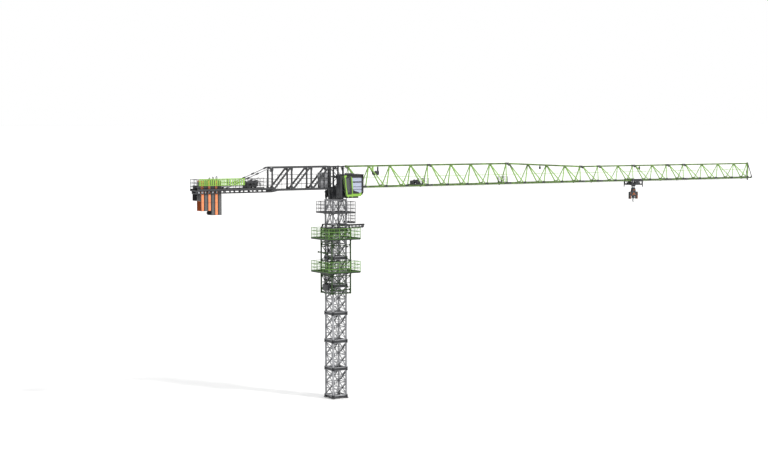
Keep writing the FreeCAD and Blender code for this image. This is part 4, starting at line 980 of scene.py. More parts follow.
def build_turret():
    """Node plates, lug pins, base plates, a ladder and two hoops."""
    plates, pins, ladder = builders(3)
    for side in SIDES:
        y = side * (TURRET_Y + 0.074)
        near, far = sorted((y, y + side * 0.012))
        for x in (-TURRET_X, TURRET_X):
            way = -math.copysign(1, x)
            for z, rise in ((21.25, 0.28), (22.3, 0.22), (23.3, -0.28)):
                outline = [(x - way * 0.06, z - 0.1), (x + way * 0.3, z - 0.1), (x + way * 0.3, z + 0.02),
                           (x + way * 0.07, z + rise), (x - way * 0.06, z + rise)]
                plates.slab(outline, 1, near, far)
                for dx in (0.0, 0.12, 0.24):
                    pins.bolt((x + way * dx, far if side > 0 else near, z - 0.04), (0, side, 0), 0.02)
            plates.box((x - 0.1, side * TURRET_Y - 0.1, TURRET_LOW),
                       (x + 0.1, side * TURRET_Y + 0.1, TURRET_LOW + 0.02))
            plates.box((x - 0.09, side * TURRET_Y - 0.09, TURRET_LOW + 0.02),
                       (x + 0.09, side * TURRET_Y + 0.09, TURRET_LOW + 0.12))
        for x, z, reach in ((-0.78, 21.15, 0.475), (-0.78, 23.35, 0.475), (0.98, 21.25, 0.5)):
            pins.lathe((x, side * reach - 0.08, z), ALONG_Y, [(0, 0.035), (0.16, 0.035)], 16)
            for dy in (-0.065, 0.052):
                cheek = side * reach + dy
                plates.lathe((x, cheek, z), ALONG_Y, [(0, 0.085), (0.013, 0.085)], 20)
    plates.lathe((0.98, -0.065, 23.34), ALONG_Y, [(0, 0.07), (0.13, 0.07)], 16)
    pins.lathe((0.98, -0.09, 23.34), ALONG_Y, [(0, 0.032), (0.18, 0.032)], 16)
    for side in SIDES:
        near, far = facing(side, 0.575, 0.587)
        plates.slab([(-0.78, 20.72), (0.78, 20.72), (0.7, 20.9), (0.62, 21.2), (0.12, 21.2), (0.08, 20.95),
                     (-0.08, 20.95), (-0.12, 21.2), (-0.62, 21.2), (-0.7, 20.9)], 1, near, far)
        near, far = facing(side, 0.625, 0.637)
        plates.slab([(-0.7, 20.72), (0.7, 20.72), (0.6, 20.9), (0.5, 21.2), (-0.5, 21.2), (-0.6, 20.9)], 0,
                    near, far)
    for y in (-0.2, 0.2):
        ladder.rod((LADDER_X, y, TURRET_LOW), (LADDER_X, y, 23.38), 0.02, 8)
    for i in range(9):
        z = TURRET_LOW + 0.28 * (i + 1)
        ladder.rod((LADDER_X, -0.2, z), (LADDER_X, 0.2, z), 0.013, 6)
    for z in (21.5, 22.2, 22.9):
        ladder.box((-0.5, -0.21, z), (LADDER_X, -0.19, z + 0.03))
        ladder.box((-0.5, 0.19, z), (LADDER_X, 0.21, z + 0.03))
    ladder.sweep([(-0.28, -0.5, 22.7), (-0.28, -0.5, 23.36), (-0.24, -0.5, 23.4), (-0.04, -0.5, 23.4),
                  (0.0, -0.5, 23.36), (0.0, -0.5, 22.7)], 0.014, 6)
    ladder.sweep([(0.62, -0.56, 22.68), (0.62, -0.56, 23.15), (0.66, -0.56, 23.19), (0.94, -0.56, 23.19),
                  (0.98, -0.56, 23.15), (0.98, -0.56, 22.68)], 0.014, 6)
    plates.box((0.6, -0.58, 22.66), (1.0, -0.54, 22.7))
    plates.bar((0.55, -0.5, 22.68), (0.98, -0.5, 22.68), 0.05, 0.04)
    plates.bar((0.98, -0.5, 22.68), (0.98, -0.57, 22.68), 0.04, 0.04)
    plates.make("turret_plates", "upper_works", "dark_steel", 0.003)
    pins.make("turret_pins", "upper_works", "bolt_steel")
    ladder.make("turret_ladder", "upper_works", "panel_grey")


# ---- jib -------------------------------------------------------------------
JIB_Z = 21.25
JIB_HALF = 0.5
JIB_ROOT = 1.1
JIB_LENGTHS = (10, 10, 10, 2.5, 5, 5, 2.5, 10)
JIB_BAY = 2.5
TAPER = (21.1, 31.1)
TOP_ROOT = 23.34
TOP_OUTER = 22.87


def jib_top(x):
    """Height of the top chord's centre line at x."""
    share = min(1, max(0, (x - TAPER[0]) / (TAPER[1] - TAPER[0])))
    return TOP_ROOT + (TOP_OUTER - TOP_ROOT) * share


def jib_spans():
    start = JIB_ROOT
    spans = []
    for length in JIB_LENGTHS:
        spans.append((start, start + length))
        start += length
    return spans


def build_jib():
    """Node plates on the chords, legs at the root, section lugs with pins, and hanging signal tags."""
    nodes, lugs, pins, welds = builders(4)
    for x0, x1 in jib_spans():
        for bay in range(round((x1 - x0) / JIB_BAY)):
            top_x = x0 + 0.3 + bay * JIB_BAY
            foot_x = top_x + 1.7
            top = jib_top(top_x)
            drop = 0.085 if x0 < TAPER[1] else 0.075
            nodes.slab([(top_x - 0.17, top - drop - 0.015), (top_x + 0.17, top - drop - 0.015),
                        (top_x + 0.13, top - drop - 0.14), (top_x - 0.13, top - drop - 0.14)], 1, -0.05, 0.05)
            for side in SIDES:
                y = side * JIB_HALF
                near, far = sorted((y + side * 0.062, y + side * 0.074))
                nodes.slab([(foot_x - 0.24, 21.19), (foot_x + 0.24, 21.19), (foot_x + 0.2, 21.33),
                            (foot_x + 0.09, 21.4), (foot_x - 0.09, 21.4), (foot_x - 0.2, 21.33)], 1, near,
                           far)
                for dx in (-0.17, -0.06, 0.06, 0.17):
                    pins.bolt((foot_x + dx, far if side > 0 else near, 21.25), (0, side, 0), 0.013)
                welds.lathe((foot_x - 0.1, side * 0.47, 21.31), (-0.75, side * -0.25, 1),
                            [(0, 0.075), (0.03, 0.062), (0.05, 0.058)], 8)
                welds.lathe((foot_x + 0.1, side * 0.47, 21.31), (0.35, side * -0.25, 1),
                            [(0, 0.075), (0.03, 0.062), (0.05, 0.058)], 8)
    lugs.box((4.86, -0.06, 22.6), (5.0, 0.06, 23.22))
    lugs.slab([(4.36, 22.72), (4.62, 22.42), (4.95, 22.36), (5.06, 22.5), (5.06, 22.8), (4.82, 22.74),
               (4.7, 22.86), (4.55, 22.62)], 1, -0.085, 0.085)
    welds.box((4.25, -0.05, 22.78), (4.42, 0.05, 23.25))
    for side in SIDES:
        welds.rod((1.47, 0, TOP_ROOT - 0.04), (1.24, side * 0.48, 21.33), 0.036, 8)
    for x, _ in jib_spans()[1:]:
        top = jib_top(x)
        for side in SIDES:
            y = side * JIB_HALF
            for dx in (-0.12, 0.12):
                lugs.block((x + dx, y, 21.25), (0.2, 0.155, 0.165))
            lugs.block((x, y + side * 0.06, 21.25), (0.3, 0.03, 0.2))
            lugs.block((x, y - side * 0.06, 21.25), (0.3, 0.03, 0.2))
            for dx in (-0.09, 0.09):
                pins.lathe((x + dx, y - 0.1, 21.25), ALONG_Y,
                           [(0, 0.02), (0, 0.035), (0.2, 0.035), (0.2, 0.02)], 12)
        for dy in (-0.1, 0.075):
            lugs.block((x, dy + 0.0125, top), (0.46, 0.025, 0.19))
        for dx in (-0.13, 0.13):
            pins.lathe((x + dx, -0.125, top), ALONG_Y,
                       [(0, 0.025), (0, 0.042), (0.25, 0.042), (0.25, 0.025)], 12)
    for x in (25.5, 39.5):
        top = jib_top(x) - 0.08
        lugs.rod((x, 0, top), (x, 0, top - 0.2), 0.05, 8)
        lugs.slab([(x - 0.12, top - 0.1), (x + 0.12, top - 0.1), (x + 0.12, top - 0.34), (x, top - 0.4),
                   (x - 0.12, top - 0.34)], 1, -0.03, 0.03)
    nodes.make("jib_node_plates", "upper_works", "dark_steel")
    lugs.make("jib_section_lugs", "upper_works", "dark_steel", 0.006)
    pins.make("jib_pins", "upper_works", "bolt_steel")
    welds.make("jib_brace_collars", "upper_works", "jib_green")


def build_jib_walkway():
    """The lifeline inside the jib, its stanchions and the two service frames."""
    line, frames, rollers = builders(3)
    for side in SIDES:
        points = []
        for x0, x1 in jib_spans():
            for bay in range(round((x1 - x0) / JIB_BAY)):
                foot_x = x0 + 2.0 + bay * JIB_BAY
                y = side * 0.24
                points.append((foot_x, y, 22.2))
                line.rod((foot_x, side * 0.42, 21.31), (foot_x, y, 22.22), 0.014, 6)
        for a, b in zip(points, points[1:]):
            middle = Vector(a).lerp(Vector(b), 0.5) - lift(0.025)
            line.sweep([a, middle, b], 0.014, 5)
    for x0 in (10.1, 20.2):
        for side in SIDES:
            y = side * 0.36
            frames.rod((x0, y, 21.28), (x0, y, 21.98), 0.034, 6)
            frames.rod((x0 + 0.75, y, 21.28), (x0 + 0.75, y, 21.98), 0.034, 6)
            for z in (21.45, 21.62, 21.79, 21.96):
                frames.rod((x0, y, z), (x0 + 0.75, y, z), 0.014, 6)
        frames.mesh_panel((x0, -0.36, 21.42), (0, 0.72, 0), (0, 0, 0.5), 0.1, 0.006)
        for i in range(7):
            frames.box((x0 + i * 0.12, -0.4, 21.29), (x0 + i * 0.12 + 0.06, 0.4, 21.31))
    for x0, x1 in jib_spans():
        x = x1 - 1.0
        for side in SIDES:
            frames.bar((x, side * 0.12, 21.24), (x, side * 0.12, 21.09), 0.03, 0.012)
        rollers.lathe((x, -0.1, 21.12), ALONG_Y,
                      [(0, 0.03), (0.02, 0.045), (0.08, 0.035), (0.12, 0.035), (0.18, 0.045), (0.2, 0.03)],
                      12)
        frames.bar((x, -0.5, 21.25), (x, 0.5, 21.25), 0.05)
    line.make("jib_lifeline", "upper_works", "jib_green")
    frames.make("jib_service_frames", "upper_works", "dark_steel")
    rollers.make("jib_rope_rollers", "upper_works", "bolt_steel")


def build_jib_tip():
    """Pulleys, rubber buffers and gussets on the end frame."""
    parts, rubbers = builders(2)
    for side in SIDES:
        for z in (21.2, 21.3):
            rubbers.lathe((56.12, side * 0.61, z - 0.02), (-1, 0, 0),
                          [(0, 0.03), (0.02, 0.04), (0.1, 0.035), (0.11, 0.02)], 12)
        parts.slab([(56.18, 21.3), (56.36, 21.3), (56.18, 21.6)], 1, side * 0.5 - 0.006, side * 0.5 + 0.006)
        for dx in (0.04, 0.12, 0.2):
            parts.bolt((56.1 + dx, side * 0.55, 21.25), (0, side, 0), 0.016)
    parts.slab([(56.16, 22.6), (56.16, 22.95), (56.26, 22.62)], 1, -0.02, 0.02)
    for z in (22.65, 22.8):
        parts.bolt((56.18, 0, z + 0.06), ALONG_X, 0.016, 0.015)
    parts.lathe((56.13, -0.1, 21.02), ALONG_Y, [(0, 0.03), (0.2, 0.03)], 12)
    parts.make("jib_tip_fittings", "upper_works", "dark_steel")
    rubbers.make("jib_tip_buffers", "upper_works", "rubber")


# ---- counter-jib -----------------------------------------------------------
COUNTER_HALF = 0.475
COUNTER_LOW = 21.15
COUNTER_TOP = 23.35
COUNTER_XS = (-7.4, -5.25, -3.05, -0.92)
DECK_TOP = 21.28
DECK_TAIL = -15.55
DECK_FRONT = -7.47
DECK_MESH_HEIGHT = 0.88
DECK_MESH_PITCH = 0.15
WEIGHT_REAR = -15.03
WEIGHT_PITCH = 0.364
WEIGHT_THICKNESS = 0.34
WEIGHT_HALF = 0.46
WEIGHT_NECK = 0.395
WEIGHT_SHOULDER = 20.88
WEIGHT_TOP = 22.2


def build_counter_truss():
    """Node plates, second plan braces, floor bars, grab rails and pinned lugs of the truss."""
    plates, floor, pins = builders(3)
    for side in SIDES:
        face = side * (COUNTER_HALF + 0.062)
        near, far = sorted((face, face + side * 0.012))
        for index, x in enumerate(COUNTER_XS):
            ahead = 0.32 if index < 3 else 0.05
            behind = 0.34 if index else 0.05
            plates.slab([(x - 0.1, 21.06), (x + ahead, 21.06), (x + ahead, 21.24), (x + 0.08, 21.5),
                         (x - 0.1, 21.5)], 1, near, far)
            plates.slab([(x - behind, 23.26), (x - behind, 23.43), (x + 0.1, 23.43), (x + 0.1, 23.0),
                         (x - 0.08, 23.0)], 1, near, far)
            for dx, z in ((0, 21.12), (0, 21.3), (ahead - 0.07, 21.12), (0, 23.1), (0, 23.36),
                          (0.07 - behind, 23.36)):
                pins.bolt((x + dx, far if side > 0 else near, z), (0, side, 0), 0.02)
        for x0, x1 in zip(COUNTER_XS, COUNTER_XS[1:]):
            y = side * COUNTER_HALF
            floor.rod((x0 + 0.06, y - side * 0.045, 22.62), (x1 - 0.06, y - side * 0.045, 22.62), 0.015, 6)
            middle = (x0 + x1) / 2
            floor.rod((middle, y - side * 0.045, 21.24), (middle, y - side * 0.045, 22.6), 0.018, 6)
            floor.bar((x0 + 0.12, y, 21.24), (middle, y, 22.25), 0.03)
    for x0, x1 in zip(COUNTER_XS, COUNTER_XS[1:]):
        plates.bar((x0, COUNTER_HALF, COUNTER_TOP), (x1, -COUNTER_HALF, COUNTER_TOP), 0.05)
        plates.bar((x0, -COUNTER_HALF, COUNTER_LOW), (x1, COUNTER_HALF, COUNTER_LOW), 0.06)
    for i in range(64):
        x = -7.3 + i * 0.1
        floor.box((x - 0.005, -0.43, 21.21), (x + 0.005, 0.43, 21.235))
    for y in (-0.41, -0.14, 0.14, 0.41):
        floor.box((-7.3, y - 0.008, 21.21), (-0.98, y + 0.008, 21.24))
    plates.make("counter_jib_plates", "upper_works", "dark_steel")
    floor.make("counter_jib_floor_bars", "upper_works", "frame_steel")
    pins.make("counter_jib_bolts", "upper_works", "bolt_steel")


def build_cabinets():
    """Doors, handles, hinges, louvres and a rain roof on each control cabinet."""
    light_doors, dark_doors, fittings = builders(3)
    for x0, x1, y0, y1, z0, z1 in ((-1.94, -1.53, -0.26, 0.24, 21.21, 22.75),
                                   (-1.44, -1.03, -0.26, 0.24, 21.21, 22.75),
                                   (-0.61, -0.37, -1.95, -1.2, 20.37, 22.48)):
        doors = light_doors if y0 > -1 else dark_doors
        for low, high in ((z0 + 0.06, (z0 + z1) / 2 - 0.02), ((z0 + z1) / 2 + 0.02, z1 - 0.06)):
            doors.box((x0 + 0.03, y0 - 0.018, low), (x1 - 0.03, y0, high))
            doors.box((x0 - 0.018, y0 + 0.04, low), (x0, y1 - 0.04, high))
            for i in range(6):
                z = low + 0.08 + i * 0.04
                fittings.box((x0 + 0.08, y0 - 0.026, z), (x1 - 0.08, y0 - 0.018, z + 0.016))
                fittings.box((x0 - 0.026, y0 + 0.12, z), (x0 - 0.018, y1 - 0.12, z + 0.016))
            middle = (low + high) / 2
            fittings.box((x1 - 0.07, y0 - 0.04, middle - 0.05), (x1 - 0.05, y0 - 0.018, middle + 0.07))
            for z in (low + 0.06, high - 0.06):
                fittings.rod((x0 + 0.03, y0 - 0.022, z - 0.03), (x0 + 0.03, y0 - 0.022, z + 0.03), 0.01, 8)
        doors.box((x0 - 0.025, y0 - 0.025, z1 - 0.01), (x1 + 0.02, y1 + 0.02, z1 + 0.02))
    light_doors.make("cabinet_doors", "upper_works", "mast_steel", 0.004)
    dark_doors.make("rear_cabinet_doors", "upper_works", "dark_steel", 0.004)
    fittings.make("cabinet_fittings", "upper_works", "rubber")


def build_deck():
    """Bearing bars on both walkways, toe boards, railing mesh, stiffeners and pads on the beams."""
    grating, rails, plates, pads = builders(4)
    span = DECK_FRONT - DECK_TAIL
    front = DECK_FRONT - 0.15
    start, run = DECK_TAIL + 0.02, front - DECK_TAIL - 0.02
    for i in range(int(span / 0.1)):
        x = DECK_TAIL + 0.06 + i * 0.1
        for side in SIDES:
            near, far = facing(side, 0.54, 0.87)
            grating.box((x - 0.005, near, DECK_TOP), (x + 0.005, far, DECK_TOP + 0.022))
    for side in SIDES:
        for y in (0.56, 0.7, 0.84):
            grating.box((DECK_TAIL + 0.03, side * y - 0.007, DECK_TOP),
                        (DECK_FRONT, side * y + 0.007, DECK_TOP + 0.025))
        y = side * 0.894
        near, far = sorted((y, y - side * 0.01))
        grating.box((start, near, DECK_TOP), (DECK_FRONT - 0.1, far, DECK_TOP + 0.13))
        line = side * 0.88
        rails.mesh_panel((start, line, DECK_TOP + 0.15), (run, 0, 0),
                         (0, 0, DECK_MESH_HEIGHT), DECK_MESH_PITCH)
        for i in range(6):
            x = start + run * (i + 0.5) / 6
            rails.rod((x, line, DECK_TOP), (x, line, DECK_TOP + 1.03), 0.014, 6)
        for i in range(7):
            x = start + run * i / 6
            near, far = facing(side, 0.865, 0.898)
            plates.box((max(x - 0.04, DECK_TAIL), near, DECK_TOP), (x + 0.04, far, DECK_TOP + 0.03))
        beam = side * (COUNTER_HALF + 0.062)
        near, far = sorted((beam, beam + side * 0.01))
        for i in range(9):
            x = DECK_TAIL + 0.06 + (span - 0.12) * i / 8
            plates.box((x - 0.05, near, 20.99), (x + 0.05, far, 21.19))
        for i in range(6):
            x = WEIGHT_REAR + WEIGHT_PITCH * (i - 0.7)
            pads.box((x - 0.09, near, 21.01), (x + 0.09, far, 21.16))
        wedge = [(DECK_FRONT, 20.93), (DECK_FRONT, 21.06), (DECK_FRONT + 0.75, 21.06)]
        plates.slab(wedge, 1, side * COUNTER_HALF - 0.05, side * COUNTER_HALF + 0.05)
        for x in (-14.2, -12.8, -11.0, -9.3, -7.9):
            plates.angle((x, side * 0.53, 20.97), (x, side * 0.86, 21.22), 0.05, 0.01)
    rails.mesh_panel((start, -0.88, DECK_TOP + 0.15), (0, 1.76, 0), (0, 0, DECK_MESH_HEIGHT), DECK_MESH_PITCH)
    for x0, x1 in ((-12.4, -11.0), (-11.0, -9.3), (-9.3, -7.5)):
        for y in (-COUNTER_HALF, COUNTER_HALF):
            plates.bar((x0, y, 20.98), (x1, -y, 20.98), 0.06)
    grating.make("deck_grating", "upper_works", "frame_steel")
    rails.make("deck_mesh", "upper_works", "frame_steel")
    plates.make("deck_stiffeners", "upper_works", "frame_steel")
    pads.make("deck_beam_pads", "upper_works", "pale_steel")


def build_ties():
    """Turnbuckle plates, pins and lugs on the two sloping tie bars."""
    lugs, pins = builders(2)
    foot_x = WEIGHT_REAR + 6 * WEIGHT_PITCH + 0.35
    head, foot = Vector((-7.57, 0, COUNTER_TOP)), Vector((foot_x, 0, DECK_TOP + 0.11))
    for side in SIDES:
        y = side * COUNTER_HALF
        for share in (0.03, 0.3, 0.5, 0.72, 0.97):
            place = head.lerp(foot, share) + Vector((0, y, 0))
            along = (foot - head).normalized()
            for dy in (-0.05, 0.035):
                a = place - along * 0.17 + Vector((0, dy + 0.0075, 0))
                lugs.bar(a, a + along * 0.34, 0.015, 0.15)
            for offset in (-0.1, 0.1):
                spot = place + along * offset
                pins.lathe(spot - Vector((0, 0.065, 0)), ALONG_Y, [(0, 0.035), (0.13, 0.035)], 12)
    lugs.make("tie_lugs", "upper_works", "dark_steel")
    pins.make("tie_pins", "upper_works", "bolt_steel")


def build_weights():
    """Seams widened into painted shade of the gaps between slabs, lifting eyes and lug pads on the slabs, and
    on the last one grey plates over a dark orange sheet of painted shade.
    """
    steel, eyes, seam_and_gap_shade, roller, shade_sheet = builders(5)
    for i in range(6):
        x0 = WEIGHT_REAR + i * WEIGHT_PITCH
        x = x0 + WEIGHT_THICKNESS / 2
        low = 19.3 if i < 3 else 18.89
        for side in SIDES:
            near, far = facing(side, 0.4, 0.5)
            steel.box((x - 0.09, near, 21.36), (x + 0.09, far, 21.385))
            eyes.sweep(arc((x, side * 0.2, WEIGHT_TOP), 0.07, 0, 180, 8), 0.018, 6)
            eyes.block((x, side * 0.2, WEIGHT_TOP + 0.005), (0.24, 0.1, 0.012))
            for half, z0, z1 in ((WEIGHT_HALF, low, WEIGHT_SHOULDER),
                                 (WEIGHT_NECK, DECK_TOP + 0.12, WEIGHT_TOP)):
                near, far = facing(side, half - 0.002, half + 0.003)
                # Dark strips on both edges of each slab and along its foot: seams widened into painted shade
                # of the gaps between slabs.
                for edge in (x0, x0 + WEIGHT_THICKNESS - 0.045):
                    seam_and_gap_shade.box((edge, near, z0), (edge + 0.045, far, z1))
                seam_and_gap_shade.box((x0, near, z0), (x0 + WEIGHT_THICKNESS, far, z0 + 0.03))
            near, far = facing(side, WEIGHT_HALF - 0.002, WEIGHT_HALF + 0.004)
            seam_and_gap_shade.box((x0 + 0.06, near, 20.1), (x0 + WEIGHT_THICKNESS - 0.06, far, 20.115))
    for x, top in ((-13.96, 22.42), (-13.61, 22.5), (-13.22, 22.56)):
        eyes.sweep([(x - 0.06, -0.1, WEIGHT_TOP), (x - 0.06, -0.1, top), (x, -0.1, top + 0.05),
                    (x + 0.06, -0.1, top), (x + 0.06, -0.1, WEIGHT_TOP)], 0.035, 6)
    rear, sheet = WEIGHT_REAR, WEIGHT_REAR - 0.012
    steel.box((sheet, -0.42, 20.25), (rear, 0.42, 20.86))
    steel.box((sheet, -0.36, 20.9), (rear, 0.36, 22.1))
    # A dark orange sheet on the rear face of the last slab: painted shade of that face.
    shade_sheet.box((sheet, -0.43, 19.33), (rear, 0.43, 20.22))
    # Dark strips at the rear edges of the last slab, the same seam and gap shade.
    for near, far in ((-0.455, -0.43), (0.43, 0.455)):
        seam_and_gap_shade.box((rear - 0.014, near, 19.31), (rear, far, 20.87))
    for z in (19.4, 20.15, 20.36, 21.94):
        for y in (-0.3, 0.3):
            eyes.bolt((sheet, y, z), (-1, 0, 0), 0.016, 0.01)
    middle = rear + 2.45 * WEIGHT_PITCH
    roller.lathe((middle, -0.42, 19.11), ALONG_Y,
                 [(0, 0.1), (0, 0.175), (0.03, 0.185), (0.27, 0.185), (0.3, 0.175), (0.3, 0.1)], 24)
    # Two dark strips below the deck, in the same piece of seam and gap shade.
    for near, far in ((-0.34, -0.31), (0.31, 0.34)):
        seam_and_gap_shade.box((rear - 0.47, near, 20.85), (rear - 0.07, far, DECK_TOP))
    steel.make("weight_pads", "upper_works", "weight_grey")
    shade_sheet.make("weight_rear_painted_shade", "upper_works", "weight_brown")
    eyes.make("weight_lifting_eyes", "upper_works", "dark_steel")
    seam_and_gap_shade.make("weight_edge_shade_strips", "upper_works", "dark_steel")
    roller.make("weight_roller", "upper_works", "tail_black")


def build_hoist_winch():
    """Motor fins, gearbox, brake and bearing caps round the hoist drum, with its cover hoops."""
    motor, pins, hoops = builders(3)
    x, z = HOIST_DRUM[:2]
    for side in SIDES:
        motor.lathe((x, side * 0.43, z), (0, side, 0),
                    [(0, 0.16), (0.03, 0.16), (0.03, 0.1), (0.09, 0.1), (0.1, 0.07)], 20)
        for c, s in around(6):
            pins.bolt((x + 0.13 * c, side * 0.46, z + 0.13 * s), (0, side, 0), 0.014)
    motor.lathe((-10.28, 0.02, 21.66), ALONG_X, [(0, 0.14), (0.04, 0.22), (0.5, 0.22), (0.54, 0.14)], 20)
    for i in range(14):
        motor.lathe((-10.22 + i * 0.033, -0.08, 21.66), ALONG_X, [(0, 0.27), (0.012, 0.27)], 20)
    motor.box((-10.14, -0.24, 21.9), (-9.86, 0.1, 22.02))
    motor.lathe((-10.0, 0.2, 21.92), ALONG_Z, [(0, 0.1), (0.03, 0.12), (0.14, 0.12), (0.16, 0.09)], 16)
    for dx in (-0.44, -0.22, 0.0, 0.22, 0.44):
        hoops.sweep(arc((x + dx * 0.2, -0.4 + (dx + 0.44) * 0.9, 21.4), 0.82, 12, 168, 14), 0.012, 5)
    for i in range(5):
        turn = math.radians(30 + i * 30)
        place = (x + 0.82 * math.cos(turn), -0.4, 21.4 + 0.82 * math.sin(turn))
        hoops.rod(place, (place[0], 0.4, place[2]), 0.01, 5)
    for px in (-10.2, -9.7, -9.0):
        for side in SIDES:
            pins.bolt((px, side * 0.4, 21.36), ALONG_Z, 0.022)
    motor.make("hoist_winch_drive", "upper_works", "dark_steel")
    hoops.make("hoist_winch_guard", "upper_works", "frame_steel")
    pins.make("hoist_winch_bolts", "upper_works", "bolt_steel")


def build_trolley_winch():
    """Drive, bearing caps and bolts of the trolley winch."""
    motor, pins = builders(2)
    x, z = TROLLEY_DRUM[:2]
    for side in SIDES:
        motor.lathe((x, side * 0.3, z), (0, side, 0), [(0, 0.1), (0.02, 0.1), (0.02, 0.06), (0.06, 0.05)], 16)
    motor.lathe((x, 0.34, z), ALONG_Y, [(0, 0.12), (0.02, 0.14), (0.12, 0.14), (0.15, 0.08)], 18)
    for i in range(8):
        motor.lathe((8.94 + i * 0.026, 0, 21.56), ALONG_X, [(0, 0.2), (0.01, 0.2)], 18)
    motor.lathe((8.91, 0, 21.56), ALONG_X, [(0, 0.12), (0.03, 0.17), (0.24, 0.17), (0.26, 0.1)], 18)
    motor.box((9.72, -0.2, 21.4), (9.96, 0.2, 21.58))
    motor.box((9.76, -0.16, 21.58), (9.92, 0.16, 21.6))
    for px in (8.95, 9.3, 9.7, 9.95):
        for side in SIDES:
            pins.bolt((px, side * 0.48, 21.4), ALONG_Z, 0.02)
    motor.make("trolley_winch_drive", "upper_works", "dark_steel")
    pins.make("trolley_winch_bolts", "upper_works", "bolt_steel")


# ---- ropes and pulleys -----------------------------------------------------
ROPE_R = 0.011
ROPE_Z = 21.06
REAR_PULLEY_X, TURRET_PULLEY_X = -7.3, 0.8
RETURN_X, TIP_PULLEY_X = 1.8, 55.84
SMALL_PULLEY, ROOT_PULLEY = 0.12, 0.15
TROLLEY_X = 38.65
SHEAVE_Z = 20.869
HOOK_SHEAVE_Z = 20.13
TROLLEY_ROPE_Y = 0.225
TROLLEY_ROPE_LOW = 21.12
TROLLEY_ROPE_HIGH = 21.36
SHEAVE_LINE = 0.191
HOIST_DRUM = (-9.25, 21.79, 0.301, 0.35)
TROLLEY_DRUM = (9.5, 21.64, 0.171, 0.235)
PULLEY = [(-0.04, 0.05), (-0.04, 1.0), (-0.025, 1.0), (-0.012, 0.84), (0.012, 0.84), (0.025, 1.0),
          (0.04, 1.0), (0.04, 0.05)]


def add_pulley(builder, x, y, z, rope_radius):
    rim = rope_radius / 0.9
    profile = [(along, share * rim if share > 0.1 else 0.02) for along, share in PULLEY]
    builder.lathe((x, y, z), ALONG_Y, profile, 20)


